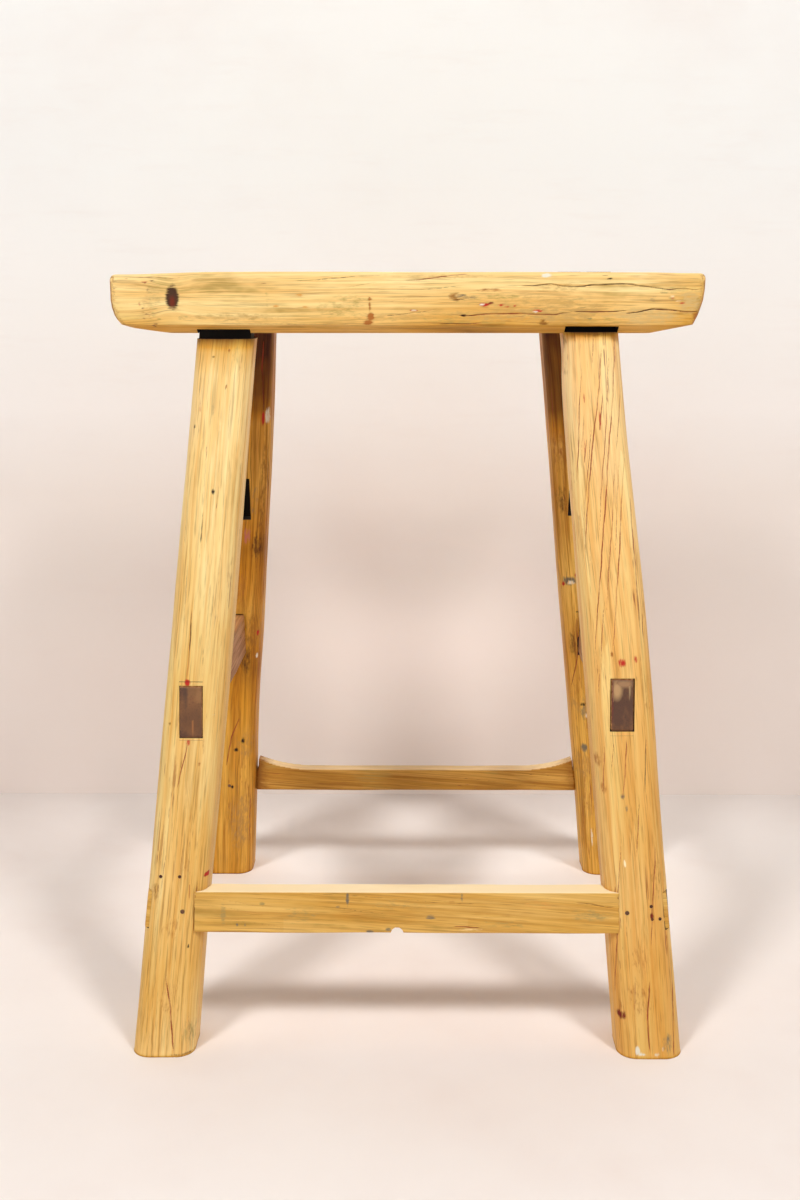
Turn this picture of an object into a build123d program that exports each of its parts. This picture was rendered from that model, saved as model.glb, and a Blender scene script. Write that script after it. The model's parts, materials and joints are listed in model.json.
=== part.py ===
from build123d import *
from math import sqrt
import os

# A four legged wooden stool, held together by through tenons, pegs and wedges.
# All sizes are millimetres. X runs along the seat, Y from the front to the back, Z up.
# The origin lies on the floor under the middle of the seat.

# Seat plank: an upright face all round, over a shallow bevel that leads in to the underside.
# Its ends are almost upright above and turn in below.
SEAT_TOP = 500.0
SEAT_LENGTH = 379.0
SEAT_DEPTH = 190.0
SEAT_FACE_HEIGHT = 33.0
SEAT_BEVEL_HEIGHT = 5.5
SEAT_BEVEL_IN = 11.0
SEAT_END_BEVEL_IN = 27.0
SEAT_END_LEAN = 1.5
SEAT_END_TURN_HEIGHT = 16.0
SEAT_END_UNDERCUT = 7.5
SEAT_CORNER_RADIUS = 8.0
SEAT_TOP_ROUND = 4.0
# A shallow housing is cut in the underside over each leg, out to the nearer long edge.
HOUSING_HEIGHT = 2.5

# Legs: rounded squares that grow towards the foot and stand splayed both ways.
LEG_TOP_WIDTH = 39.7
LEG_FOOT_WIDTH = 43.7
LEG_CORNER_RADIUS = 13.0
LEG_TOP_FROM_END = 71.5
LEG_TOP_FROM_EDGE = 25.5
LEG_SPLAY_BACK = 81.5
FRONT_LEG_SPLAY_OUT = 41.5
# The back legs were set by eye, so their feet stand unevenly.
BACK_LEFT_SPLAY_OUT = 37.0
BACK_RIGHT_SPLAY_OUT = 54.0
# The shoulder of a leg stops this far below the seat and leaves a dark gap.
SHOULDER_GAP = 3.7
# The tenon on top of a leg goes right through the seat.
LEG_TENON_WIDTH = 34.0
LEG_TENON_DEPTH = 20.0
LEG_TENON_ROOT = 10.0

# A wedge is driven into a slot across the top of each leg tenon.
SEAT_WEDGE_TOP = 4.0
SEAT_WEDGE_TIP = 1.2
SEAT_WEDGE_LENGTH = 24.0

# Side rails: thin boards whose tenons pass through the front and back legs.
RAIL_WIDTH = 17.0
RAIL_HEIGHT = 37.0
RAIL_TENON_WIDTH = 14.8
RAIL_TENON_HEIGHT = 33.0
RAIL_TENON_PROUD = 0.5
LEFT_RAIL_FRONT_MIDDLE = 222.0
RIGHT_RAIL_FRONT_MIDDLE = 227.0
RAIL_BACK_MIDDLE = 220.0

# Wedges that fill the flared mortises over or under the front ends of the rail tenons.
UPPER_LEFT_WEDGE_THICKNESS = 3.6
LOWER_LEFT_WEDGE_THICKNESS = 1.6
LOWER_RIGHT_WEDGE_THICKNESS = 3.2
RAIL_WEDGE_TIP = 0.6
RAIL_WEDGE_LENGTH = 26.0

# Empty mortises higher up the legs, left where a second pair of rails once sat.
EMPTY_MORTISE_WIDTH = 15.0
EMPTY_MORTISE_HEIGHT = 32.5
EMPTY_MORTISE_DEPTH = 22.0
LEFT_EMPTY_MORTISE_MIDDLE = 331.0
RIGHT_EMPTY_MORTISE_MIDDLE = 335.0

# Front stretcher: its face is flush with the legs and its ends lap over their round corners.
FRONT_STRETCHER_BOTTOM = 80.5
FRONT_STRETCHER_HEIGHT = 27.0
FRONT_STRETCHER_THICKNESS = 14.0
FRONT_STRETCHER_LAP = 8.5
FRONT_TENON_HEIGHT = 24.0
FRONT_TENON_THICKNESS = 8.5
FRONT_TENON_COVER = 4.0
# A half round notch is worn into its lower edge, a little left of the middle.
NOTCH_RADIUS = 3.6
NOTCH_OFFSET = 6.0

# Back stretcher: straight below, and hollowed above so that its ends stand taller.
BACK_STRETCHER_BOTTOM = 75.0
BACK_STRETCHER_HEIGHT = 19.0
BACK_STRETCHER_END_HEIGHT = 29.3
BACK_STRETCHER_CURVE = 48.0
BACK_STRETCHER_THICKNESS = 12.5
BACK_TENON_HEIGHT = 17.0
BACK_TENON_THICKNESS = 9.0
STRETCHER_TENON_PROUD = 0.4

# Pegs that lock the stretcher tenons. The back ones pass right through their legs.
PEG_DIAMETER = 4.6
PEG_PROUD = 0.5
FRONT_PEG_LENGTH = 20.0
LEFT_PEG_INWARD = 5.5
RIGHT_PEG_INWARD = 8.0

# Old nails, driven into the front legs beside the stretcher joints.
NAIL_HEAD_DIAMETER = 3.4
NAIL_HEAD_HEIGHT = 1.0
NAIL_SHANK_DIAMETER = 1.8
NAIL_LENGTH = 14.0
LEFT_NAIL_RISE = 9.0
LEFT_NAIL_OUTWARD = 10.5
LEFT_NAIL_INWARD = 1.8
RIGHT_NAIL_OUTWARD = 8.0
RIGHT_NAIL_SPACING = 8.4
RIGHT_OUTER_NAIL_OUTWARD = 13.0

# Clearances: joinery is a close fit, and round pegs and nails have a little more.
FIT = 0.15
ROUND_FIT = 0.2
# Cuts run past the faces that they open by this much.
OVERRUN = 30.0

SEAT_EDGE = SEAT_TOP - SEAT_FACE_HEIGHT
SEAT_UNDERSIDE = SEAT_EDGE - SEAT_BEVEL_HEIGHT
SHOULDER = SEAT_UNDERSIDE - SHOULDER_GAP
FRONT_STRETCHER_TOP = FRONT_STRETCHER_BOTTOM + FRONT_STRETCHER_HEIGHT
FRONT_STRETCHER_MIDDLE = (FRONT_STRETCHER_BOTTOM + FRONT_STRETCHER_TOP) / 2
BACK_STRETCHER_MIDDLE = BACK_STRETCHER_BOTTOM + BACK_STRETCHER_HEIGHT / 2

LEG_TOP_OUT = SEAT_LENGTH / 2 - LEG_TOP_FROM_END
LEG_TOP_BACK = SEAT_DEPTH / 2 - LEG_TOP_FROM_EDGE

SPLAY_OUT = {
    "front_left": FRONT_LEG_SPLAY_OUT,
    "front_right": FRONT_LEG_SPLAY_OUT,
    "back_left": BACK_LEFT_SPLAY_OUT,
    "back_right": BACK_RIGHT_SPLAY_OUT,
}
EMPTY_MORTISE_MIDDLE = {"left": LEFT_EMPTY_MORTISE_MIDDLE, "right": RIGHT_EMPTY_MORTISE_MIDDLE}
RAIL_FRONT_MIDDLE = {"left": LEFT_RAIL_FRONT_MIDDLE, "right": RIGHT_RAIL_FRONT_MIDDLE}
FRONT_PEG_INWARD = {"front_left": LEFT_PEG_INWARD, "front_right": RIGHT_PEG_INWARD}
# Each rail wedge: the leg it is in, the side of the tenon it lies on, and its thickness.
RAIL_WEDGES = {
    "rail_wedge_front_left_upper": ("front_left", 1, UPPER_LEFT_WEDGE_THICKNESS),
    "rail_wedge_front_left_lower": ("front_left", -1, LOWER_LEFT_WEDGE_THICKNESS),
    "rail_wedge_front_right": ("front_right", -1, LOWER_RIGHT_WEDGE_THICKNESS),
}


def side_of(leg):
    """-1 for a leg on the left, 1 for one on the right."""
    return -1 if leg.endswith("left") else 1


def row_of(leg):
    """-1 for a front leg, 1 for a back one."""
    return -1 if leg.startswith("front") else 1


def leg_x(leg, height):
    """Distance of a leg's middle from the middle of the stool along X, with its sign."""
    splay_share = 1 - height / SHOULDER
    return side_of(leg) * (LEG_TOP_OUT + SPLAY_OUT[leg] * splay_share)


def leg_y(leg, height):
    """The same along Y."""
    splay_share = 1 - height / SHOULDER
    return row_of(leg) * (LEG_TOP_BACK + LEG_SPLAY_BACK * splay_share)


def leg_width(height):
    """Width of a leg across its flats at a height."""
    return LEG_FOOT_WIDTH + (LEG_TOP_WIDTH - LEG_FOOT_WIDTH) * height / SHOULDER


def outer_face_y(leg, height):
    """Where the face of a leg that looks away from the stool lies, along Y."""
    return leg_y(leg, height) + row_of(leg) * leg_width(height) / 2


def inner_face_y(leg, height):
    """Where the face that looks at the leg in front of or behind it lies, along Y."""
    return leg_y(leg, height) - row_of(leg) * leg_width(height) / 2


def leg_section(leg, height, spare):
    """Rounded square across a leg at a height, larger all round by the spare."""
    width = leg_width(height) + 2 * spare
    place = Plane((leg_x(leg, height), leg_y(leg, height), height))
    return place * RectangleRounded(width, width, LEG_CORNER_RADIUS)


def leg_shaft(leg, spare=0):
    """The splayed leg from the floor up to its shoulder."""
    return loft([leg_section(leg, 0, spare), leg_section(leg, SHOULDER, spare)], ruled=True)


def leg_prism(leg, bottom, top, bottom_size, top_size):
    """Straight sided prism along the slanted middle line of a leg."""
    sections = []
    for height, size in ((bottom, bottom_size), (top, top_size)):
        place = Plane((leg_x(leg, height), leg_y(leg, height), height))
        sections.append(place * Rectangle(*size))
    return loft(sections, ruled=True)


def leg_tenon(leg, spare=0):
    """Tenon on top of a leg, through the seat and flush with its top."""
    size = (LEG_TENON_WIDTH + 2 * spare, LEG_TENON_DEPTH + 2 * spare)
    top = SEAT_TOP + (OVERRUN if spare else 0)
    return leg_prism(leg, SHOULDER - LEG_TENON_ROOT, top, size, size)


def seat_wedge(leg, spare=0):
    """Thin wedge across a leg tenon, widest at the top of the seat."""
    tip = (SEAT_WEDGE_TIP + 2 * spare, LEG_TENON_DEPTH + 2 * spare)
    head = (SEAT_WEDGE_TOP + 2 * spare, LEG_TENON_DEPTH + 2 * spare)
    return leg_prism(leg, SEAT_TOP - SEAT_WEDGE_LENGTH - spare, SEAT_TOP, tip, head)


def rail_point(side, row):
    """Middle of a side rail at the outer face of a leg."""
    leg = row + "_" + side
    middle = RAIL_FRONT_MIDDLE[side] if row == "front" else RAIL_BACK_MIDDLE
    return Vector(leg_x(leg, middle), outer_face_y(leg, middle), middle)


def rail_middle(side, y):
    """Height of a side rail's middle line, which falls a little to the back."""
    front = rail_point(side, "front")
    back = rail_point(side, "back")
    fall_share = (y - front.Y) / (back.Y - front.Y)
    return front.Z + (back.Z - front.Z) * fall_share


def rail_bar(side, width, height):
    """Bar between the outer faces of two legs, run on past both of them."""
    front = rail_point(side, "front")
    back = rail_point(side, "back")
    reach = (back - front).normalized() * OVERRUN
    sections = []
    for point in (front - reach, back + reach):
        place = Plane(point, x_dir=(1, 0, 0), z_dir=(0, 1, 0))
        sections.append(place * Rectangle(width, height))
    return loft(sections, ruled=True)


def between_outer_faces(proud):
    """Block whose long faces follow the splay of the legs, standing proud of them."""
    corners = []
    for leg, height in (
        ("front_left", 0),
        ("back_left", 0),
        ("back_left", SHOULDER),
        ("front_left", SHOULDER),
    ):
        corners.append((outer_face_y(leg, height) + row_of(leg) * proud, height))
    profile = Plane.YZ * Polygon(*corners, align=None)
    return extrude(profile, SEAT_LENGTH, both=True)


def side_rail(side):
    """Side rail: a board that stops at the legs and the tenons that go through them."""
    board = rail_bar(side, RAIL_WIDTH, RAIL_HEIGHT)
    board -= leg_shaft("front_" + side, FIT)
    board -= leg_shaft("back_" + side, FIT)
    board &= between_outer_faces(-leg_width(0) / 2)
    tenons = rail_bar(side, RAIL_TENON_WIDTH, RAIL_TENON_HEIGHT)
    tenons &= between_outer_faces(RAIL_TENON_PROUD)
    return board + tenons


def rail_wedge(leg, above, thickness, spare=0):
    """Wedge that lies on a rail tenon and thins towards the inside of the leg."""
    side = leg.split("_")[1]
    row = row_of(leg)
    mouth = rail_point(side, "front")
    face = mouth.Y + row * RAIL_TENON_PROUD
    tip = face - row * (RAIL_WEDGE_LENGTH + spare)
    start = face + (row * OVERRUN if spare else 0)
    near = RAIL_TENON_HEIGHT / 2 + FIT - spare
    corners = [
        (start, near),
        (start, near + thickness + 2 * spare),
        (face, near + thickness + 2 * spare),
        (tip, near + RAIL_WEDGE_TIP + 2 * spare),
        (tip, near),
    ]
    if start == face:
        corners.pop(0)
    outline = [(y, rail_middle(side, y) + above * away) for y, away in corners]
    profile = Plane.YZ * Polygon(*outline, align=None)
    wedge = extrude(profile, RAIL_TENON_WIDTH / 2 + spare, both=True)
    return Pos(mouth.X, 0, 0) * wedge


def empty_mortise(leg):
    """Blind mortise in the face of a leg that looks at the leg in line with it."""
    height = EMPTY_MORTISE_MIDDLE[leg.split("_")[1]]
    face = inner_face_y(leg, height)
    hole = Box(EMPTY_MORTISE_WIDTH, 2 * EMPTY_MORTISE_DEPTH, EMPTY_MORTISE_HEIGHT)
    return Pos(leg_x(leg, height), face, height) * hole


def front_face_strip(bottom, height, behind, thickness):
    """Strip from leg to leg that leans with their front faces, set behind them."""
    top = bottom + height
    face_bottom = outer_face_y("front_left", bottom) + behind
    face_top = outer_face_y("front_left", top) + behind
    outline = Polygon(
        (face_bottom, bottom),
        (face_bottom + thickness, bottom),
        (face_top + thickness, top),
        (face_top, top),
        align=None,
    )
    return extrude(Plane.YZ * outline, SEAT_LENGTH, both=True)


def between_outer_sides(row, proud):
    """Block whose ends follow the splay of two legs, standing proud of their outer sides."""
    corners = []
    for side, height in (("left", 0), ("right", 0), ("right", SHOULDER), ("left", SHOULDER)):
        leg = row + "_" + side
        out = leg_width(height) / 2 + proud
        corners.append((leg_x(leg, height) + side_of(leg) * out, height))
    profile = Plane.XZ * Polygon(*corners, align=None)
    return extrude(profile, SEAT_LENGTH, both=True)


def front_tenons(spare=0):
    """Both tenons of the front stretcher, as one strip through the legs."""
    bottom = FRONT_STRETCHER_MIDDLE - FRONT_TENON_HEIGHT / 2 - spare
    return front_face_strip(
        bottom,
        FRONT_TENON_HEIGHT + 2 * spare,
        FRONT_TENON_COVER - spare,
        FRONT_TENON_THICKNESS + 2 * spare,
    )


def front_stretcher():
    """Front stretcher, scribed round the inner corners of the front legs."""
    ends = []
    for leg in ("front_left", "front_right"):
        inner = leg_width(FRONT_STRETCHER_MIDDLE) / 2 - FRONT_STRETCHER_LAP
        ends.append(leg_x(leg, FRONT_STRETCHER_MIDDLE) - side_of(leg) * inner)
    board = front_face_strip(FRONT_STRETCHER_BOTTOM, FRONT_STRETCHER_HEIGHT, 0, FRONT_STRETCHER_THICKNESS)
    reach = Box(ends[1] - ends[0], 2 * SEAT_DEPTH, SEAT_TOP)
    board &= Pos((ends[0] + ends[1]) / 2, outer_face_y("front_left", 0), 0) * reach
    for leg in ("front_left", "front_right"):
        board -= leg_shaft(leg, FIT)
    notch_place = Plane((-NOTCH_OFFSET, 0, FRONT_STRETCHER_BOTTOM), z_dir=(0, 1, 0))
    board -= extrude(notch_place * Circle(NOTCH_RADIUS), SEAT_DEPTH, both=True)
    tenons = front_tenons() & between_outer_sides("front", STRETCHER_TENON_PROUD)
    stretcher = board + tenons
    for hole in front_fixings(ROUND_FIT):
        stretcher -= hole
    return stretcher


def back_tenons(spare=0):
    """Both tenons of the back stretcher, as one strip through the legs."""
    strip = Box(
        2 * SEAT_LENGTH,
        BACK_TENON_THICKNESS + 2 * spare,
        BACK_TENON_HEIGHT + 2 * spare,
    )
    return Pos(0, leg_y("back_left", BACK_STRETCHER_MIDDLE), BACK_STRETCHER_MIDDLE) * strip


def back_stretcher():
    """Back stretcher with its hollowed upper edge."""
    bottom = BACK_STRETCHER_BOTTOM
    top = bottom + BACK_STRETCHER_HEIGHT
    end_top = bottom + BACK_STRETCHER_END_HEIGHT
    left = leg_x("back_left", bottom)
    right = leg_x("back_right", bottom)
    inner_left = left + leg_width(bottom) / 2 + BACK_STRETCHER_CURVE
    inner_right = right - leg_width(bottom) / 2 - BACK_STRETCHER_CURVE
    end_left = inner_left - BACK_STRETCHER_CURVE
    end_right = inner_right + BACK_STRETCHER_CURVE
    outline = Curve() + [
        Polyline((end_left, end_top), (left, end_top), (left, bottom)),
        Polyline((left, bottom), (right, bottom), (right, end_top), (end_right, end_top)),
        TangentArc((inner_right, top), (end_right, end_top), tangent=(1, 0)),
        Line((inner_left, top), (inner_right, top)),
        TangentArc((inner_left, top), (end_left, end_top), tangent=(-1, 0)),
    ]
    profile = Plane.XZ * make_face(outline)
    board = extrude(profile, BACK_STRETCHER_THICKNESS / 2, both=True)
    board = Pos(0, leg_y("back_left", BACK_STRETCHER_MIDDLE), 0) * board
    for leg in ("back_left", "back_right"):
        board -= leg_shaft(leg, FIT)
    tenons = back_tenons() & between_outer_sides("back", STRETCHER_TENON_PROUD)
    stretcher = board + tenons
    for leg in ("back_left", "back_right"):
        stretcher -= back_peg(leg, ROUND_FIT)
    return stretcher


def rod(x, y, z, radius, length):
    """Round rod that starts at a point and runs to the back."""
    place = Plane((x, y, z), z_dir=(0, 1, 0))
    return extrude(place * Circle(radius), length)


def front_peg(leg, spare=0):
    """Peg driven from the front through a leg and the stretcher's tenon."""
    height = FRONT_STRETCHER_MIDDLE
    x = leg_x(leg, height) - side_of(leg) * FRONT_PEG_INWARD[leg]
    face = outer_face_y(leg, height) - PEG_PROUD - spare
    length = FRONT_PEG_LENGTH + 2 * spare
    return rod(x, face, height, PEG_DIAMETER / 2 + spare, length)


def back_peg(leg, spare=0):
    """Peg through a back leg and the stretcher's tenon, proud on both faces."""
    height = BACK_STRETCHER_MIDDLE
    face = inner_face_y(leg, height) - PEG_PROUD - spare
    length = leg_width(height) + 2 * PEG_PROUD + 2 * spare
    return rod(leg_x(leg, height), face, height, PEG_DIAMETER / 2 + spare, length)


def corner_drop(outward, width):
    """How far the round corner of a leg lies behind its flat face."""
    past_flat = max(0, outward - (width / 2 - LEG_CORNER_RADIUS))
    return LEG_CORNER_RADIUS - sqrt(LEG_CORNER_RADIUS**2 - past_flat**2)


def nail(leg, outward, height, spare=0):
    """Nail in the front of a leg, its head on the wood's surface."""
    x = leg_x(leg, height) + side_of(leg) * outward
    face = outer_face_y(leg, height) + corner_drop(abs(outward), leg_width(height))
    start = face - NAIL_HEAD_HEIGHT / 2 - spare
    head = rod(x, start, height, NAIL_HEAD_DIAMETER / 2 + spare, NAIL_HEAD_HEIGHT + 2 * spare)
    shank = rod(x, start, height, NAIL_SHANK_DIAMETER / 2 + spare, NAIL_LENGTH + 2 * spare)
    return head + shank


def nails(leg, spare=0):
    """The nails of one front leg."""
    if leg == "front_left":
        height = FRONT_STRETCHER_TOP + LEFT_NAIL_RISE
        places = [(LEFT_NAIL_OUTWARD, height), (-LEFT_NAIL_INWARD, height)]
    else:
        upper = FRONT_STRETCHER_MIDDLE + RIGHT_NAIL_SPACING / 2
        lower = FRONT_STRETCHER_MIDDLE - RIGHT_NAIL_SPACING / 2
        places = [
            (RIGHT_NAIL_OUTWARD, upper),
            (RIGHT_NAIL_OUTWARD, lower),
            (RIGHT_OUTER_NAIL_OUTWARD, lower),
        ]
    return [nail(leg, outward, height, spare) for outward, height in places]


def front_fixings(spare=0):
    """Every peg and nail in the front legs."""
    fixings = []
    for leg in ("front_left", "front_right"):
        fixings.append(front_peg(leg, spare))
        fixings += nails(leg, spare)
    return fixings


def front_leg_cuts(leg):
    """What is cut from a front leg alone: its stretcher, wedges, peg and nails."""
    cuts = [front_tenons(FIT), front_peg(leg, ROUND_FIT)]
    cuts += nails(leg, ROUND_FIT)
    for wedge_leg, above, thickness in RAIL_WEDGES.values():
        if wedge_leg == leg:
            cuts.append(rail_wedge(leg, above, thickness, FIT))
    return cuts


def back_leg_cuts(leg):
    """What is cut from a back leg alone: its stretcher and its peg."""
    return [back_tenons(FIT), back_peg(leg, ROUND_FIT)]


def leg_solid(leg):
    """A whole leg: shaft, seat tenon and every mortise and hole in it."""
    side = leg.split("_")[1]
    solid = leg_shaft(leg) + leg_tenon(leg)
    solid -= seat_wedge(leg, FIT)
    solid -= rail_bar(side, RAIL_TENON_WIDTH + 2 * FIT, RAIL_TENON_HEIGHT + 2 * FIT)
    solid -= empty_mortise(leg)
    cuts = front_leg_cuts(leg) if leg.startswith("front") else back_leg_cuts(leg)
    for cut in cuts:
        solid -= cut
    return solid


def seat_section(height, end_in, long_in):
    """Rounded rectangle of the seat at a height, drawn in at its ends and long sides."""
    size = (SEAT_LENGTH - 2 * end_in, SEAT_DEPTH - 2 * long_in)
    return Plane((0, 0, height)) * RectangleRounded(*size, SEAT_CORNER_RADIUS)


def housing(leg):
    """Shallow cut in the underside, from a leg tenon out past the nearer long edge."""
    reach = SEAT_DEPTH / 2 - LEG_TOP_BACK + OVERRUN
    cut = Box(LEG_TENON_WIDTH, reach, 2 * HOUSING_HEIGHT)
    middle = row_of(leg) * (LEG_TOP_BACK + reach / 2)
    return Pos(leg_x(leg, SEAT_UNDERSIDE), middle, SEAT_UNDERSIDE) * cut


def seat_solid():
    """The seat plank, with a mortise and a housing for each leg."""
    turn = seat_section(SEAT_EDGE + SEAT_END_TURN_HEIGHT, SEAT_END_LEAN, 0)
    plank = loft([turn, seat_section(SEAT_TOP, 0, 0)], ruled=True)
    plank = fillet(plank.faces().sort_by(Axis.Z)[-1].edges(), SEAT_TOP_ROUND)
    arris = seat_section(SEAT_EDGE, SEAT_END_UNDERCUT, 0)
    plank += loft([arris, turn], ruled=True)
    end_in = SEAT_END_UNDERCUT + SEAT_END_BEVEL_IN
    underside = seat_section(SEAT_UNDERSIDE, end_in, SEAT_BEVEL_IN)
    plank += loft([underside, arris], ruled=True)
    for leg in SPLAY_OUT:
        plank -= leg_tenon(leg, FIT)
        plank -= housing(leg)
    return plank


def stool_nodes():
    """Every sub-part by its name."""
    nodes = {"seat": seat_solid()}
    for leg in SPLAY_OUT:
        nodes["leg_" + leg] = leg_solid(leg)
        nodes["seat_wedge_" + leg] = seat_wedge(leg)
    nodes["front_stretcher"] = front_stretcher()
    nodes["back_stretcher"] = back_stretcher()
    for side in RAIL_FRONT_MIDDLE:
        nodes["side_rail_" + side] = side_rail(side)
    for name, (leg, above, thickness) in RAIL_WEDGES.items():
        nodes[name] = rail_wedge(leg, above, thickness)
    for leg in ("front_left", "front_right"):
        nodes["stretcher_peg_" + leg] = front_peg(leg)
        nodes["old_nails_" + leg] = Compound(nails(leg))
    for leg in ("back_left", "back_right"):
        nodes["stretcher_peg_" + leg] = back_peg(leg)
    return nodes


os.makedirs("parts", exist_ok=True)
for name, shape in stool_nodes().items():
    export_step(shape, "parts/" + name + ".step")
    print(name, len(shape.solids()), "solids")
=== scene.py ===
import json
import math
from functools import partial
import bmesh
import bpy
import numpy as np
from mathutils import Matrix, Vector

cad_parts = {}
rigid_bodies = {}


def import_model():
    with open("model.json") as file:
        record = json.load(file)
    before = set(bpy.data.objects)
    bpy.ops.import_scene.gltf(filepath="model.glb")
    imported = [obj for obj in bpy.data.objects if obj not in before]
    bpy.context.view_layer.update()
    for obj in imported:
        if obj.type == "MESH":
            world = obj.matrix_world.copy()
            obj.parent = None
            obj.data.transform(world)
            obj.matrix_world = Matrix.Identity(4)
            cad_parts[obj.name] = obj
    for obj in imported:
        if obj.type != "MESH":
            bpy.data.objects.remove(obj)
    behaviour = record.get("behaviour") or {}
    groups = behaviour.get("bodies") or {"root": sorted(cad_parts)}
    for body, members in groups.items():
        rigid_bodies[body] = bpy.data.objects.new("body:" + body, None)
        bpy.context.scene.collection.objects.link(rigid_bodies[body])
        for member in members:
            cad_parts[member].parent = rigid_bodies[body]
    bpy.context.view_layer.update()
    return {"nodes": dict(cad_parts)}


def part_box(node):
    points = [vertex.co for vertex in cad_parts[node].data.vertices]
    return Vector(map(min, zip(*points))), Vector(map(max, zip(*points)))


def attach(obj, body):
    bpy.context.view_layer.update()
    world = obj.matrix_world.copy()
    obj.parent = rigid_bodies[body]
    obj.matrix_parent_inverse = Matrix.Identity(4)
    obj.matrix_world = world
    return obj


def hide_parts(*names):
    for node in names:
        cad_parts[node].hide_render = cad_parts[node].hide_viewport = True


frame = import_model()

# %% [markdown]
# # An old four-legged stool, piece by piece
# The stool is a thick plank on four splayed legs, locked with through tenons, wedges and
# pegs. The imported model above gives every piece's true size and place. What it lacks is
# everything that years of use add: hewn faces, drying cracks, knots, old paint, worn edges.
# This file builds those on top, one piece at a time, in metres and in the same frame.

MM = 0.001
scene = bpy.context.scene
print("packed nodes:", len(frame["nodes"]))

# %% [markdown]
# ## The camera
# The photograph was taken from just under the level of the seat's top, so the seat shows
# only its edge and the legs look long. A camera fitted to the legs' outlines gives the
# place, the tilt and the lens. The lens is written as a length in pixels over the
# picture's height, because that is how it was measured.

# %% Set up the camera
PICTURE_HEIGHT = 1200
FOCAL_PIXELS = 1450
CAMERA_PLACE = (0.00198, -1.0314, 0.49083)
CAMERA_DOWN = 0.213
CAMERA_TURN = 0.007
SENSOR_WIDTH = 36


def new_object(name, data):
    """An object with its data, linked into the scene."""
    thing = bpy.data.objects.new(name, data)
    scene.collection.objects.link(thing)
    return thing


camera = new_object("camera", bpy.data.cameras.new("camera"))
camera.data.sensor_width = SENSOR_WIDTH
camera.data.lens = FOCAL_PIXELS / PICTURE_HEIGHT * SENSOR_WIDTH
camera.location = CAMERA_PLACE
camera.rotation_euler = (math.pi / 2 - CAMERA_DOWN, 0, CAMERA_TURN)
scene.camera = camera
scene.view_settings.view_transform = "Standard"
print("lens in mm:", camera.data.lens)

# %% [markdown]
# ## Helpers for shader nodes
# A material is a small machine of nodes. Writing each node, setting and link by hand takes
# three lines a node, so `put` does it in one: it adds a node, sets its options, and joins or
# fills its inputs in order. The helpers after it are the few kinds that wood needs. They
# work in the tree that their first socket belongs to.

# %% Define the node helpers
def fill(socket, value):
    """Joins a socket to another one or sets its value. None leaves it as it is."""
    if isinstance(value, bpy.types.NodeSocket):
        socket.id_data.links.new(value, socket)
    elif value is not None:
        socket.default_value = value


def put(tree, kind, *inputs, **options):
    """Adds a node. Each input is a socket to join, a value to set, or None to leave."""
    node = tree.nodes.new(kind)
    for name, value in options.items():
        setattr(node, name, value)
    for place, value in enumerate(inputs):
        fill(node.inputs[place], value)
    return node


def feed(node, **inputs):
    """Fills a node's inputs by name, with _ for each space."""
    for name, value in inputs.items():
        fill(node.inputs[name.replace("_", " ")], value)


def calculate(operation, a, b=None, c=None):
    """A Math node's result."""
    return put(a.id_data, "ShaderNodeMath", a, b, c, operation=operation).outputs[0]


def vectors(operation, a, b=None, scale=None):
    """A Vector Math node's result."""
    node = put(a.id_data, "ShaderNodeVectorMath", a, b, None, scale, operation=operation)
    return node.outputs["Value" if operation == "LENGTH" else "Vector"]


def stretch(vector, scale, shift=(0, 0, 0)):
    """A vector, scaled along each axis and moved, by a Mapping node."""
    return put(vector.id_data, "ShaderNodeMapping", vector, shift, None, scale).outputs[0]


def speckle(vector, scale, shift=(0, 0, 0), detail=2, roughness=0.5):
    """Soft noise from 0 to 1, mostly near a half, over a stretched vector."""
    return put(vector.id_data, "ShaderNodeTexNoise", stretch(vector, scale, shift), None,
               1.0, detail, roughness).outputs[0]


def rise(value, low, high, top=1.0):
    """0 below low, top above high, and a smooth step between. It falls where low > high."""
    return put(value.id_data, "ShaderNodeMapRange", value, low, high, 0.0, top,
               interpolation_type="SMOOTHSTEP").outputs[0]


def blend(share, first, second, mode="MIX"):
    """Two colours mixed by a share."""
    node = put(share.id_data, "ShaderNodeMix", share, data_type="RGBA", blend_type=mode)
    for place, colour in ((6, first), (7, second)):
        fill(node.inputs[place], (*colour, 1) if isinstance(colour, tuple) else colour)
    return node.outputs[2]


def own_place(tree):
    """Where a point lies on its own object, in metres."""
    return put(tree, "ShaderNodeTexCoord").outputs["Object"]


def stored(tree, name):
    """The outputs of a value that a piece's points carry under a name."""
    return put(tree, "ShaderNodeAttribute", attribute_name=name).outputs


def new_material(name):
    """An empty node material and its shader."""
    material = bpy.data.materials.new(name)
    material.use_nodes = True
    tree = material.node_tree
    return material, tree, tree.nodes["Principled BSDF"]


def srgb(red, green, blue):
    """A colour as a picture editor shows it, turned into the light values that shaders use."""
    return tuple(
        (c / 255 / 12.92) if c <= 10 else ((c / 255 + 0.055) / 1.055) ** 2.4
        for c in (red, green, blue)
    )


def seen_ray(tree):
    """1 for what the camera, a gloss or a glass sees, 0 for the light that things give."""
    ray = put(tree, "ShaderNodeLightPath").outputs
    mirrored = calculate("MAXIMUM", ray["Is Glossy Ray"], ray["Is Transmission Ray"])
    return calculate("MAXIMUM", ray["Is Camera Ray"], mirrored)


print("helpers ready")
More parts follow.
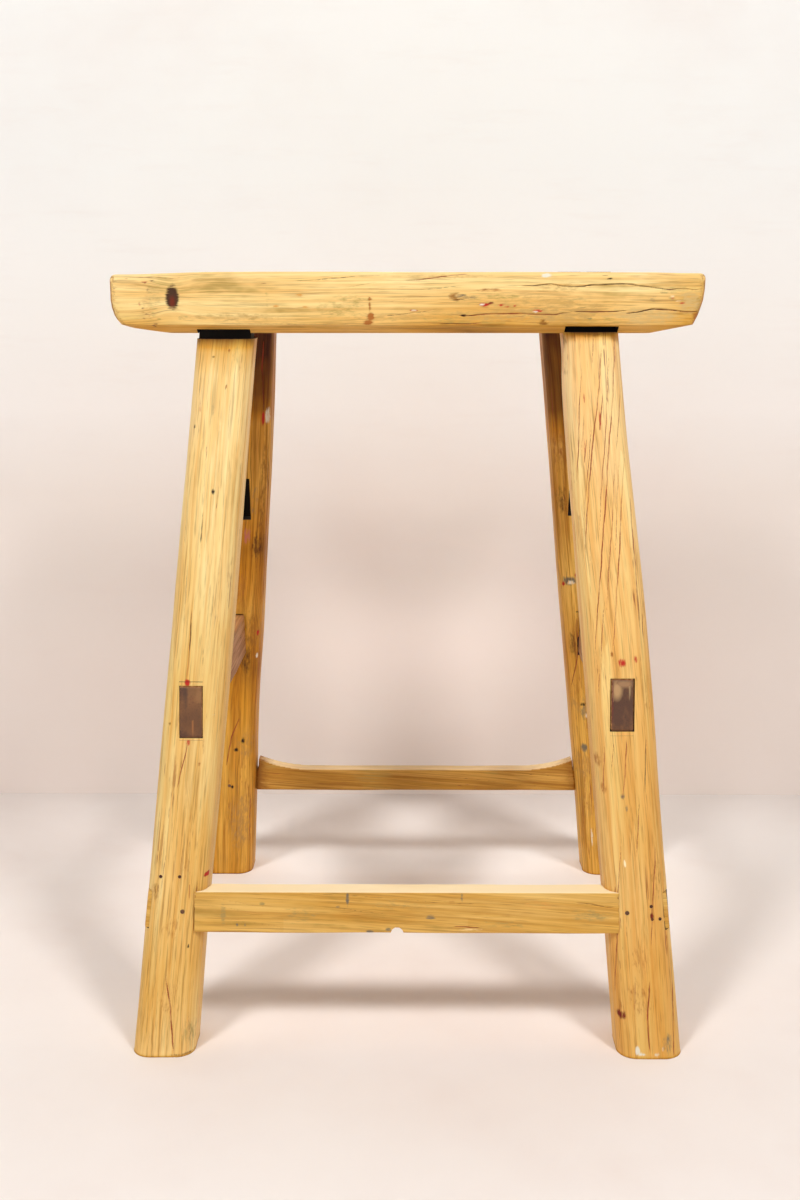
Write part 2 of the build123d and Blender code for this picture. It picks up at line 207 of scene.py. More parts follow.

# %% [markdown]
# ## The room
# A painted backdrop stands behind the stool, and the same cloth colour runs over the floor.
# Both are plain sheets whose colour comes from soft noise. The backdrop's colour is pale above
# and darker and pinker below, and the floor's grows paler towards the back: that is painted
# shade and painted light. The backdrop shows hardly any shadow, so it had light of its own. A
# faint glow low down, a little stronger behind the stool, stands for that. Seen from its back
# the backdrop is clear, so that the stool can be looked at from all sides, and the floor runs
# on behind it. Far off, and behind the backdrop, both sheets glow faintly where a camera sees
# them: a painted glow that keeps them pale to their edges.

# %% Make the floor and the backdrop
WALL_BACK = 0.33
ROOM_HALF = 3.0
ROOM_TOP = 3.0
ROOM_FRONT = -3.0
ROOM_BACK = 3.0

WALL_TONES = (
    (0.0, srgb(233, 222, 215)), (0.14, srgb(235, 224, 217)), (0.3, srgb(233, 224, 218)),
    (0.38, srgb(246, 241, 238)), (0.46, srgb(249, 246, 243)), (0.6, srgb(247, 248, 247)))
BOARD_GLOW = 0.17
BOARD_REACH = (0.44, 0.12)
MIDDLE_GLOW = 0.33
GLOW_PLACE = (0.01, 0.165)
GLOW_REACH = (0.2, 0.15)
FAR_GLOW = (0.4, 0.8)
FAR_REACH = (1.1, 2.6)
FLOOR_TONE = srgb(246, 239, 235)
FAR_FLOOR_TONE = srgb(250, 245, 242)
DUSTY_TONE = srgb(230, 213, 206)


def sheet(name, corners, finish):
    """A flat four-sided sheet that sets the stage."""
    mesh = bpy.data.meshes.new(name)
    mesh.from_pydata(corners, [], [(0, 1, 2, 3)])
    mesh.materials.append(finish)
    return new_object(name, mesh)


def backdrop_finish(name, rising):
    """Brushed, mottled paint. The backdrop grows paler with height, the floor to the back: painted
    light and shade.
    """
    material, tree, shader = new_material(name)
    place = own_place(tree)
    cloudy = speckle(place, (2.2, 2.2, 2.6), detail=5, roughness=0.6)
    brushed = speckle(place, (9, 9, 60), detail=4, roughness=0.7)
    split = put(tree, "ShaderNodeSeparateXYZ", place).outputs
    height = split[2]
    # The floor's colour grows paler towards the back: painted light.
    colour = blend(rise(split[1], -0.08, 0.2), FLOOR_TONE, FAR_FLOOR_TONE)
    # The backdrop's colour is darker and pinker low down: painted shade.
    if rising:
        ramp = put(tree, "ShaderNodeValToRGB", height)
        steps = ramp.color_ramp.elements
        steps.remove(steps[1])
        for spot, tone in WALL_TONES:
            (steps.new(spot) if spot else steps[0]).color = (*tone, 1)
        colour = ramp.outputs[0]
    colour = blend(rise(cloudy, 0.42, 0.75, 0.35), colour, DUSTY_TONE)
    colour = blend(rise(brushed, 0.5, 0.8, 0.12), colour, DUSTY_TONE)
    # Far off, and on the floor behind the backdrop, the sheets glow for the camera and for gloss:
    # a painted glow that keeps them pale.
    pale = rise(vectors("LENGTH", place), *FAR_REACH, FAR_GLOW[1])
    if not rising:
        past_wall = rise(split[1], WALL_BACK, WALL_BACK + MM, FAR_GLOW[0])
        pale = calculate("MAXIMUM", pale, past_wall)
    glow = calculate("MULTIPLY", seen_ray(tree), pale)
    if rising:
        shares = [1 / GLOW_REACH[0], 0, 1 / GLOW_REACH[1]]
        shift = (-GLOW_PLACE[0] * shares[0], 0, -GLOW_PLACE[1] * shares[2])
        away = vectors("LENGTH", stretch(place, shares, shift))
        low = rise(height, *BOARD_REACH, BOARD_GLOW)
        low = calculate("ADD", low, rise(away, 1.0, 0.0, MIDDLE_GLOW))
        glow = calculate("MAXIMUM", low, glow)
        behind = put(tree, "ShaderNodeNewGeometry").outputs["Backfacing"]
        clear = put(tree, "ShaderNodeBsdfTransparent").outputs[0]
        shown = put(tree, "ShaderNodeMixShader", behind, shader.outputs[0], clear)
        feed(tree.nodes["Material Output"], Surface=shown.outputs[0])
    feed(shader, Base_Color=colour, Roughness=0.95, Emission_Color=colour,
         Emission_Strength=glow)
    return material


floor = sheet("floor", [(-ROOM_HALF, ROOM_FRONT, 0), (ROOM_HALF, ROOM_FRONT, 0),
                        (ROOM_HALF, ROOM_BACK, 0), (-ROOM_HALF, ROOM_BACK, 0)],
              backdrop_finish("floor_paint", False))
wall = sheet("backdrop", [(-ROOM_HALF, WALL_BACK, 0), (ROOM_HALF, WALL_BACK, 0),
                          (ROOM_HALF, WALL_BACK, ROOM_TOP), (-ROOM_HALF, WALL_BACK, ROOM_TOP)],
             backdrop_finish("backdrop_paint", True))
print("room:", 2 * ROOM_HALF, "m wide")

# %% [markdown]
# ## The light
# Each front leg throws two soft shadows, one to either side, and both run back at the same
# slant. So two equal softboxes stood in front, one on the left and one on the right, as high
# up as they were far off. A broad lower light near the camera reaches in under the seat.
# The world gives only a little light, but looks pale where it is seen past the floor's edge.

# %% Hang the lights
LAMPS = {
    "softbox_left": ((-0.95, -1.44, 2.05), 0.42, 26.0),
    "softbox_right": ((0.95, -1.44, 2.05), 0.42, 26.0),
    "broad_front": ((0.0, -2.6, 1.5), 2.4, 9.0),
}
LAMP_TINT = (1.0, 0.985, 0.965)
AIM = (0, 0, 0.25)
WORLD_TONE = (1.0, 0.985, 0.97)
WORLD_STRENGTH = 0.075
SEEN_WORLD_TONE = srgb(243, 236, 232)

for name, (place, size, power) in LAMPS.items():
    lamp = new_object(name, bpy.data.lights.new(name, "AREA"))
    lamp.data.size = size
    lamp.data.energy = power
    lamp.data.color = LAMP_TINT
    lamp.location = place
    lamp.visible_camera = False
    heading = lamp.location - type(lamp.location)(AIM)
    lamp.rotation_euler = heading.to_track_quat("Z", "Y").to_euler()
world = bpy.data.worlds.new("pale_world")
scene.world = world
world.use_nodes = True
tree = world.node_tree
seen = seen_ray(tree)
strength = calculate("MULTIPLY_ADD", seen, 1 - WORLD_STRENGTH, WORLD_STRENGTH)
tone = blend(seen, WORLD_TONE, SEEN_WORLD_TONE)
feed(tree.nodes["Background"], Color=tone, Strength=strength)
print("lamps:", len(LAMPS))

# %% [markdown]
# ## What old wood looks like
# Wood is a solid, so its pattern is worked out in space and simply shows wherever a face
# cuts it: rings round the middle of the trunk, thin fibres along it. Each piece carries an
# attribute called `grain` that says where a point lies in its own log, with Z along the
# fibres. Three more attributes carry what no rule can give: `crack`, how near a drying crack
# a point lies, `stain`, a colour and how strongly it covers, for old paint, knots, grey
# weathering and a few patches of painted shade, and the last, how much a place has darkened,
# by age and by painted shade as under the seat, or worn pale where it is below zero.
# Noise frays their edges, so a mark never ends in a clean line.

# %% Define the finish of old wood
STRAW = srgb(250, 218, 158)
AMBER = srgb(222, 158, 78)
OLIVE = srgb(182, 152, 82)
UMBER = srgb(150, 98, 38)
OLD_RED = srgb(146, 58, 34)
CRACK_TONE = srgb(58, 34, 24)
CRACK_RED = srgb(150, 68, 48)
WORN_TONE = srgb(255, 234, 190)
AGE_AND_SHADE_SHARE = (0.74, 0.56, 0.22)
SHADED_SHARE = (0.13, 0.07, 0.02)
PORE_TONE = srgb(34, 22, 15)
WOOD_SHEEN = 0.17
HALF = (0.5, 0.5, 0.5)
SWAY_REACH = (0.012, 0.012, 0)


def old_wood(name, light, main, deep, seed, pith, ring=0.0026, reds=0.5, olive=0.3,
             roughness=0.5, streaky=1.0):
    """Dry old wood. pith is where the trunk's middle lies beside the piece, ring the
    width of a year's growth, and reds, olive and streaky say how much of each shows."""
    material, tree, shader = new_material(name)
    light, main, deep = srgb(*light), srgb(*main), srgb(*deep)
    grain = stretch(stored(tree, "grain")["Vector"], (1, 1, 1), (0, 0, seed))
    sway = put(tree, "ShaderNodeTexNoise", stretch(grain, (16, 16, 3.5)), None, 1.0, 2.0)
    sway = vectors("SUBTRACT", sway.outputs["Color"], HALF)
    bent = vectors("ADD", grain, vectors("MULTIPLY", sway, SWAY_REACH))

    radius = vectors("LENGTH", stretch(bent, (1, 1, 0), (-pith[0], -pith[1], 0)))
    years = calculate("FRACT", calculate("DIVIDE", radius, ring))
    late_wood = rise(years, 0.45, 0.95)

    fibres = speckle(bent, (1000, 1000, 20), detail=3, roughness=0.6)
    streaks = speckle(bent, (420, 420, 6), detail=4, roughness=0.65)
    dashes = speckle(bent, (680, 680, 24), (4, 2, 9), 3, 0.6)
    bands = speckle(bent, (110, 110, 3), detail=3, roughness=0.6)
    patches = speckle(grain, (40, 40, 12), detail=3, roughness=0.6)

    colour = blend(rise(bands, 0.38, 0.6), light, main)
    colour = blend(rise(streaks, 0.47, 0.64, 0.85 * streaky), colour, deep)
    colour = blend(rise(streaks, 0.46, 0.34, 0.5 * streaky), colour, light)
    colour = blend(calculate("MULTIPLY", late_wood, 0.3), colour, deep)
    in_bands = rise(bands, 0.4, 0.6, 0.75 * streaky)
    dash = calculate("MULTIPLY", rise(dashes, 0.53, 0.66), in_bands)
    colour = blend(dash, colour, UMBER)
    colour = blend(rise(fibres, 0.47, 0.3, 0.45), colour, UMBER)
    grey = rise(speckle(grain, (34, 34, 14), (3, 1, 5), 4, 0.65), 0.52, 0.7)
    grey = calculate("MULTIPLY", grey, rise(streaks, 0.4, 0.6, olive))
    colour = blend(grey, colour, OLIVE)

    # Thin broken red lines: where a stretched noise crosses one half, inside loose patches.
    thread = speckle(bent, (330, 330, 4.5), (7, 3, 1))
    thread = calculate("ABSOLUTE", calculate("SUBTRACT", thread, 0.5))
    thread = rise(thread, 0.028, 0.006)
    broken = speckle(grain, (120, 120, 42), (2, 8, 3), 3, 0.7)
    patchy = speckle(grain, (40, 40, 12), (5, 5, 9))
    thread = calculate("MULTIPLY", thread, rise(broken, 0.47, 0.58))
    thread = calculate("MULTIPLY", thread, rise(patchy, 0.46, 0.62, reds))
    colour = blend(thread, colour, OLD_RED)

    pores = put(tree, "ShaderNodeTexVoronoi", stretch(bent, (640, 640, 30)), None, 1.0)
    pore = rise(pores.outputs["Distance"], 0.2, 0.06, 0.4)
    colour = blend(pore, colour, UMBER)

    # Marks that the piece carries itself: age and painted shade, stains and cracks, all frayed by
    # noise.
    uneven = calculate("MULTIPLY_ADD", patches, 1.1, -0.55)
    age = calculate("ADD", stored(tree, "age")["Fac"], uneven)
    colour = blend(calculate("MULTIPLY", age, -0.8), colour, WORN_TONE)
    colour = blend(age, colour, AGE_AND_SHADE_SHARE, "MULTIPLY")
    # Past 1 the darkening goes on towards near black: painted shade, as on the leg tops under the
    # seat, and the darkest aged places.
    deeper_age_and_shade = calculate("SUBTRACT", age, 1.0)
    colour = blend(deeper_age_and_shade, colour, SHADED_SHARE, "MULTIPLY")
    fray = speckle(grain, (1500, 1500, 240), detail=3, roughness=0.65)
    fray = calculate("SUBTRACT", fray, 0.5)
    blot = speckle(grain, (560, 560, 170), detail=3, roughness=0.6)
    stain = stored(tree, "stain")
    cover = calculate("MULTIPLY_ADD", fray, 0.6, stain["Alpha"])
    cover = calculate("ADD", cover, calculate("MULTIPLY_ADD", blot, 1.1, -0.55))
    within = rise(stain["Alpha"], 0.02, 0.2)
    cover = calculate("MULTIPLY", rise(cover, 0.2, 0.8), within)
    colour = blend(cover, colour, stain["Color"])
    torn = calculate("MULTIPLY_ADD", fray, 0.14, stored(tree, "crack")["Fac"])
    gaps = calculate("ADD", rise(broken, 0.4, 0.55, 0.5), 0.45)
    torn = calculate("MULTIPLY", rise(torn, 0.86, 0.97), gaps)
    redness = rise(patchy, 0.52 - 0.3 * reds, 0.66 - 0.3 * reds)
    colour = blend(torn, colour, blend(redness, CRACK_TONE, CRACK_RED))

    rough = calculate("ADD", rise(streaks, 0.3, 0.7, 0.16), roughness - 0.08)
    rough = calculate("MULTIPLY_ADD", torn, 0.3, rough)
    relief = calculate("MULTIPLY", streaks, 0.8)
    relief = calculate("MULTIPLY_ADD", fibres, 0.5, relief)
    relief = calculate("SUBTRACT", relief, calculate("MULTIPLY", pore, 0.6))
    relief = calculate("SUBTRACT", relief, calculate("MULTIPLY", torn, 1.2))
    bump = put(tree, "ShaderNodeBump", 0.35, 0.0006, None, relief).outputs[0]
    feed(shader, Base_Color=colour, Roughness=rough, Specular_IOR_Level=WOOD_SHEEN, Normal=bump)
    return material


def end_wood(name, dark, pale, seed):
    """Sawn end grain: fine pores, curved growth lines and a dirty surface."""
    material, tree, shader = new_material(name)
    place = own_place(tree)
    pores = speckle(place, (900, 500, 900), (seed, 0, 0), 4, 0.7)
    clouds = speckle(place, (90, 90, 60), (0, seed, 0), 3)
    years = put(tree, "ShaderNodeTexWave", stretch(place, (420, 100, 120), (0, 0, seed)),
                1.0, 3.0, 2.0)
    colour = blend(rise(clouds, 0.4, 0.66), dark, pale)
    colour = blend(rise(years.outputs["Fac"], 0.5, 1.0, 0.35), colour, dark)
    colour = blend(rise(pores, 0.5, 0.3, 0.5), colour, PORE_TONE)
    stain = stored(tree, "stain")
    colour = blend(stain["Alpha"], colour, stain["Color"])
    bump = put(tree, "ShaderNodeBump", 0.5, 0.0005, None, pores).outputs[0]
    feed(shader, Base_Color=colour, Roughness=0.55, Normal=bump)
    return material


TENON_END = end_wood("tenon_end_grain", srgb(78, 44, 22), srgb(128, 82, 42), 1.5)
print("end grain:", TENON_END.name)

# %% [markdown]
# ## Mesh helpers
# Points are handled as numpy arrays, so that a rule is written once for a hundred thousand
# points. `ripple` is a smooth random height made of crossing waves, which is what a drawknife
# leaves: low swells with no sharp start. `cut` joins or subtracts solids. `dress` gives a
# finished piece its materials and body, and hides the imported nodes it takes the place of.

# %% Define the mesh helpers
def read_vectors(layer, count, key):
    """Rows x, y, z read from one of a mesh's layers."""
    flat = np.empty(count * 3)
    layer.foreach_get(key, flat)
    return flat.reshape(-1, 3)


def points_of(mesh):
    """A mesh's points as an array of rows x, y, z."""
    return read_vectors(mesh.vertices, len(mesh.vertices), "co")


def normals_of(mesh):
    """Which way a mesh's surface looks at each point."""
    return read_vectors(mesh.vertex_normals, len(mesh.vertices), "vector")


def move_points(mesh, points):
    """Puts a mesh's points at new places."""
    mesh.vertices.foreach_set("co", points.ravel())
    mesh.update()


def solid(name, points, faces):
    """A piece made from points and faces."""
    mesh = bpy.data.meshes.new(name)
    mesh.from_pydata([tuple(p) for p in points], [], [tuple(f) for f in faces])
    mesh.update()
    return new_object(name, mesh)


def baked(piece):
    """A piece's mesh with its modifiers worked in, and the modifiers gone."""
    ready = piece.evaluated_get(bpy.context.evaluated_depsgraph_get())
    mesh = bpy.data.meshes.new_from_object(ready)
    mesh.name = piece.name
    piece.modifiers.clear()
    piece.data = mesh
    return piece


WAVES = 14
WELD_REACH = 0.01 * MM


def ripple(points, size, seed):
    """Smooth random heights from -1 to 1, with swells about as long as size on each axis."""
    dice = np.random.default_rng(seed)
    total = np.zeros(len(points))
    for _ in range(WAVES):
        direction = dice.normal(size=3) / np.asarray(size)
        total += np.sin(2 * np.pi * (points @ direction * 0.5 + dice.random()))
    return np.clip(total / 5, -1, 1)


def smooth_step(value, low, high):
    """0 below low, 1 above high, smooth between."""
    share = np.clip((value - low) / (high - low), 0, 1)
    return share * share * (3 - 2 * share)


def cut(piece, *tools, union=False):
    """Subtracts the tools from a piece, or adds them to it, and removes them."""
    for tool in tools:
        step = piece.modifiers.new("cut", "BOOLEAN")
        step.operation = "UNION" if union else "DIFFERENCE"
        step.object = tool
        step.solver = "MANIFOLD"
        step.material_mode = "TRANSFER"
    baked(piece)
    for tool in tools:
        bpy.data.objects.remove(tool)
    return piece


def prism(rings, material):
    """A closed block between two rings of four corners."""
    faces = [(3, 2, 1, 0), (4, 5, 6, 7)]
    faces += [(i, (i + 1) % 4, (i + 1) % 4 + 4, i + 4) for i in range(4)]
    block = solid("block", [*rings[0], *rings[1]], faces)
    block.data.materials.append(material)
    return block


def rectangle(x, y, z, width, depth):
    """The corners of a level rectangle round a point."""
    return [(x + right * width / 2, y + back * depth / 2, z)
            for right, back in ((-1, -1), (1, -1), (1, 1), (-1, 1))]


def merged_copy(node, name):
    """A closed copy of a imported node: its loose triangles are welded together."""
    piece = new_object(name, frame["nodes"][node].data.copy())
    weld = piece.modifiers.new("weld", "WELD")
    weld.merge_threshold = WELD_REACH
    return baked(piece)


def set_values(mesh, name, kind, values):
    """Stores values on a mesh's points under a name."""
    layer = mesh.attributes.get(name) or mesh.attributes.new(name, kind, "POINT")
    key = {"FLOAT": "value", "FLOAT_VECTOR": "vector", "FLOAT_COLOR": "color"}[kind]
    layer.data.foreach_set(key, np.asarray(values, dtype=np.float32).ravel())


def grains_and_marks(mesh, grain, crack, cover, age):
    """Stores the four values that the wood shader reads."""
    set_values(mesh, "grain", "FLOAT_VECTOR", grain)
    set_values(mesh, "crack", "FLOAT", crack)
    set_values(mesh, "stain", "FLOAT_COLOR", cover)
    set_values(mesh, "age", "FLOAT", age)


def sink_in(mesh, depth, directions=(1, 1, 1)):
    """Moves the points inward by a depth in millimetres each."""
    inward = normals_of(mesh) * directions * (depth * MM)[:, None]
    move_points(mesh, points_of(mesh) - inward)


def dress(piece, nodes, slot, *materials):
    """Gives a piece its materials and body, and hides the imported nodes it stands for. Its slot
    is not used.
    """
    for material in materials:
        piece.data.materials.append(material)
    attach(piece, "root")
    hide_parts(*nodes)
    print(piece.name, len(piece.data.vertices), "points")


print("mesh helpers ready")

# %% [markdown]
# ## Marks of age
# A crack is a list of places on the wood, each given as how far across the piece and how far
# along it, with a width and a depth. `crack_depths` finds how near each point lies to that
# line, for the colour, and how far it has to sink. A spot is an oval patch of colour. Both
# are measured in millimetres on the piece, as a restorer would note them.

# %% Define cracks and spots
FADE = 1.6
GROOVE_BANK = 0.4
SINK_SHARE = 0.6


def wobble(along, seed):
    """A small sideways wander of a line, in millimetres."""
    return 0.22 * np.sin(along / 9.1 + seed) + 0.1 * np.sin(along / 2.9 + 2.1 * seed)


def crack_depths(across, along, seen, cracks):
    """How near each point is to a crack, 1 being inside it, and how far the point sinks."""
    depth = np.zeros(len(across))
    sink = np.zeros(len(across))
    for seed, (line, width, fall) in enumerate(cracks):
        places = np.array(sorted(line, key=lambda place: place[1]), dtype=float)
        low, high = places[0, 1], places[-1, 1]
        share = np.clip((along - low) / (high - low), 0, 1)
        middle = np.interp(along, places[:, 1], places[:, 0]) + wobble(along, seed)
        taper = (4 * share * (1 - share)) ** 0.4
        past_edge = np.abs(across - middle) - 0.25 * width * taper + 0.2 * (1 - taper)
        inside = seen & (share > 0) & (share < 1)
        faint = 0.12 * (1 - min(fall / 0.7, 1))
        near = inside * np.clip(1 - past_edge / FADE - faint, 0, 1)
        groove = inside * SINK_SHARE * fall * np.clip(1 - past_edge / GROOVE_BANK, 0, 1)
        depth, sink = np.maximum(depth, near), np.maximum(sink, groove)
    return depth, sink


def spot_cover(across, along, seen, spots):
    """The colour and cover of each point under oval spots, the last one on top."""
    cover = np.zeros((len(across), 4))
    for middle, place, half_width, half_length, tone, strength in spots:
        away = np.hypot((across - middle) / half_width, (along - place) / half_length)
        share = np.where(seen, strength * np.clip(1.6 - 1.2 * away, 0, 1), 0)
        on_top = share > cover[:, 3] * 0.6
        cover[on_top, :3] = tone
        cover[:, 3] = np.where(on_top, np.maximum(share, cover[:, 3] * 0.4), cover[:, 3])
    return cover


def hairlines(count, seed, reach, low, high, lean, longest=90.0, middle=0.0):
    """Random thin cracks, mostly along the grain, as a list like a given one."""
    dice = np.random.default_rng(seed)
    lines = []
    for _ in range(count):
        start = dice.uniform(low, high)
        length = dice.uniform(0.25, 1) * longest
        across = middle + dice.uniform(-reach, reach)
        end = min(start + length, high)
        shift = lean * (end - start) + dice.normal(scale=1.0)
        line = [(across, start), (across + shift, end)]
        lines.append((line, dice.uniform(0.2, 0.5), dice.uniform(0.1, 0.4)))
    return lines


def deepest(*groups):
    """The nearness and the sinking of several groups of cracks, the larger at each point."""
    return [np.maximum.reduce(both) for both in zip(*(crack_depths(*group) for group in groups))]


def noted_cracks(notes, place_of):
    """Cracks noted as width, depth, x, y, x, y and so on, with their pixels placed."""
    return [([place_of(pixel) for pixel in zip(note[2::2], note[3::2])], *note[:2])
            for note in notes]


def noted_spots(notes, place_of, lying=False):
    """Noted spots with their pixels placed. On a lying piece the width runs along it."""
    return [(*place_of(note[:2]), *(note[3:1:-1] if lying else note[2:4]), *note[4:])
            for note in notes]


print("mark helpers ready")

# %% [markdown]
# ## Reading marks off the photograph
# A crack in the picture is noted as pixels. Its place on the wood is where the sight line
# through that pixel meets the face it lies on, so the notes stay true in three dimensions.
# Every face that the picture shows from the front is a plane that may lean with height.
# Places are given as how far across the wood and how far along it, in millimetres.

# %% Turn pixels into places on a face
PICTURE_MIDDLE = (400, 600)
bpy.context.view_layer.update()


def seen_at(pixel, face, lean=0.0):
    """Where the sight line through a pixel meets the plane y = face + lean * z."""
    turn = np.array(camera.matrix_world.to_3x3())
    right, down = pixel[0] - PICTURE_MIDDLE[0], pixel[1] - PICTURE_MIDDLE[1]
    ray = turn @ np.array([right, -down, -FOCAL_PIXELS])
    start = np.array(CAMERA_PLACE)
    reach = (face + lean * start[2] - start[1]) / (ray[1] - lean * ray[2])
    return start + reach * ray


print("middle of the seat's edge:", seen_at((400, 300), -0.095).round(3))

# %% [markdown]
# ## The legs
# Each leg is a square with well rounded corners, a little thicker at the foot, and it leans
# two ways. That is a rule, so Geometry Nodes can follow it: a section curve is swept up a
# straight line, hewn a little by noise, and then sheared over, as the maker's leg is planed
# straight first and set at an angle later. The section's points lie closer together on the
# side that faces the camera, because the finest cracks are carved there.

# %% Write down the legs' rules
SHOULDER = 457.8 * MM
SEAT_TOP = 500.0 * MM
SHOULDER_RISE = {"front_right": 4.3 * MM}
LEG_TOP_OUT = 118.0 * MM
LEG_TOP_BACK = 69.5 * MM
LEG_SPLAY_BACK = 81.5 * MM
LEG_SPLAY_OUT = {"front_left": 41.5 * MM, "front_right": 41.5 * MM,
                 "back_left": 37.0 * MM, "back_right": 54.0 * MM}
LEG_FOOT_WIDTH = 43.7 * MM
LEG_TOP_WIDTH = 39.7 * MM
LEG_CORNER = 13.0 * MM
LEG_ROWS = 330
LEG_HEWING = 1.1 * MM
FINE_STEP = 0.45 * MM
COARSE_STEP = 1.2 * MM


def side_of(leg):
    """-1 for a left leg, 1 for a right one."""
    return -1 if leg.endswith("left") else 1


def row_of(leg):
    """-1 for a front leg, 1 for a back one."""
    return -1 if leg.startswith("front") else 1


def leg_middle(leg, height):
    """The middle of a leg at a height, as x and y."""
    share = 1 - height / SHOULDER
    out = LEG_TOP_OUT + LEG_SPLAY_OUT[leg] * share
    back = LEG_TOP_BACK + LEG_SPLAY_BACK * share
    return side_of(leg) * out, row_of(leg) * back


def leg_width(height):
    """The width of a leg at a height."""
    return LEG_FOOT_WIDTH + (LEG_TOP_WIDTH - LEG_FOOT_WIDTH) * height / SHOULDER


def section_outline(width, corner, fine, coarse):
    """A rounded square, with points fine steps apart in front and coarse ones behind."""
    outline = []
    for quarter in range(4):
        turns = np.pi / 2 * (quarter + np.linspace(0, 1, 40))
        halfway = turns[len(turns) // 2]
        middle = np.sign([np.cos(halfway), np.sin(halfway)]) * (width / 2 - corner)
        outline.append(middle + corner * np.c_[np.cos(turns), np.sin(turns)])
    outline = np.vstack([*outline, outline[0][:1]])
    run = np.r_[0, np.cumsum(np.hypot(*np.diff(outline, axis=0).T))]
    even = np.linspace(0, run[-1], 3000)
    outline = np.c_[np.interp(even, run, outline[:, 0]), np.interp(even, run, outline[:, 1])]
    step = np.where(outline[1:, 1] < corner * 0.2, fine, coarse)
    effort = np.r_[0, np.cumsum(np.diff(even) / step)]
    count = int(effort[-1])
    spots = np.interp(np.arange(count) * effort[-1] / count, effort, even)
    return np.c_[np.interp(spots, even, outline[:, 0]), np.interp(spots, even, outline[:, 1])]


section_points = section_outline(LEG_FOOT_WIDTH, LEG_CORNER, FINE_STEP, COARSE_STEP)
section_curve = bpy.data.curves.new("leg_section", "CURVE")
section_curve.dimensions = "3D"
spline = section_curve.splines.new("POLY")
spline.points.add(len(section_points) - 1)
for point, (x, y) in zip(spline.points, section_points):
    point.co = (x, y, 0, 1)
spline.use_cyclic_u = True
section = new_object("leg_section", section_curve)
print("points round a leg:", len(section_points))

# %% [markdown]
# The tree below is the leg's rule. Its inputs are the sizes, so one tree makes all four
# legs. Hewing only takes wood away, which keeps every leg inside its true size.

# %% Build the tree that sweeps a leg
def new_tree(name, inputs):
    """An empty geometry tree with named inputs, and its input node's sockets by name."""
    tree = bpy.data.node_groups.new(name, "GeometryNodeTree")
    for label, kind in inputs.items():
        tree.interface.new_socket(label, in_out="INPUT", socket_type="NodeSocket" + kind)
    tree.interface.new_socket("Geometry", in_out="OUTPUT", socket_type="NodeSocketGeometry")
    return tree, tree.nodes.new("NodeGroupInput").outputs


def finish_tree(tree, geometry, finish):
    """Ends a tree in real geometry with its material."""
    real = put(tree, "GeometryNodeRealizeInstances", geometry)
    dressed = put(tree, "GeometryNodeSetMaterial", real.outputs[0], None, finish)
    put(tree, "NodeGroupOutput", dressed.outputs[0])


def run_tree(piece, tree, values):
    """Runs a tree on a piece: its inputs are set by their identifiers, then it is baked."""
    step = piece.modifiers.new(tree.name, "NODES")
    step.node_group = tree
    for socket in tree.interface.items_tree:
        if socket.in_out == "INPUT" and socket.name in values:
            step[socket.identifier] = values[socket.name]
    return baked(piece)


SWELL_RATE = (55, 55, 13)


def leg_tree():
    """Sweeps a section up a line, hews it and leans it over."""
    tree, given = new_tree("leg_rule", {
        "Section": "Object", "Height": "Float", "Rows": "Int", "Top share": "Float",
        "Foot place": "Vector", "Lean": "Vector", "Hewing": "Float", "Seed": "Float",
        "Finish": "Material"})
    top = put(tree, "ShaderNodeCombineXYZ", None, None, given["Height"])
    line = put(tree, "GeometryNodeCurvePrimitiveLine", None, top.outputs[0])
    rows = put(tree, "GeometryNodeResampleCurve", line.outputs[0], None, given["Rows"])
    outline = put(tree, "GeometryNodeObjectInfo", given["Section"])
    share = put(tree, "GeometryNodeSplineParameter").outputs["Factor"]
    slimming = calculate("SUBTRACT", given["Top share"], 1.0)
    size = calculate("MULTIPLY_ADD", share, slimming, 1.0)
    sweep = put(tree, "GeometryNodeCurveToMesh", rows.outputs[0], outline.outputs["Geometry"])
    feed(sweep, Scale=size, Fill_Caps=True)

    place = put(tree, "GeometryNodeInputPosition").outputs[0]
    swell = vectors("ADD", vectors("MULTIPLY", place, SWELL_RATE), given["Seed"])
    depth = put(tree, "ShaderNodeTexNoise", swell, None, 1.0, 1.0).outputs[0]
    depth = calculate("MULTIPLY", depth, given["Hewing"])
    look = put(tree, "GeometryNodeInputNormal").outputs[0]
    chip = vectors("SCALE", vectors("MULTIPLY", look, (-1, -1, 0)), scale=depth)
    hewn = put(tree, "GeometryNodeSetPosition", sweep.outputs[0], None, None, chip)

    height = put(tree, "ShaderNodeSeparateXYZ", place).outputs[2]
    rising = calculate("DIVIDE", height, given["Height"])
    lean = vectors("SCALE", given["Lean"], scale=rising)
    shift = vectors("ADD", given["Foot place"], lean)
    leaning = put(tree, "GeometryNodeSetPosition", hewn.outputs[0], None, None, shift)
    finish_tree(tree, leaning.outputs[0], given["Finish"])
    return tree


leg_rule = leg_tree()
print("leg tree nodes:", len(leg_rule.nodes))

# %% [markdown]
# No two legs were cut from the same tree. The front left one is pale and clean, the front
# right one amber with long red cracks, and the back ones are browner with knots.

# %% Mix the legs' finishes
LEG_FINISHES = {
    "front_left": old_wood(
        "leg_wood_front_left", (255, 232, 168), (253, 216, 142), (236, 180, 96),
        1.3, (0.05, 0.04), reds=0.6, olive=0.25, streaky=0.6),
    "front_right": old_wood(
        "leg_wood_front_right", (255, 224, 152), (250, 202, 126), (232, 168, 84),
        4.7, (-0.02, 0.05), 0.0031, reds=0.9, olive=0.15, streaky=0.5),
    "back_left": old_wood(
        "leg_wood_back_left", (248, 200, 100), (230, 174, 72), (188, 128, 44),
        8.2, (0.03, 0.03), reds=0.6, olive=0.5),
    "back_right": old_wood(
        "leg_wood_back_right", (250, 204, 106), (234, 178, 76), (192, 132, 48),
        12.9, (-0.03, 0.03), reds=0.5, olive=0.6),
}
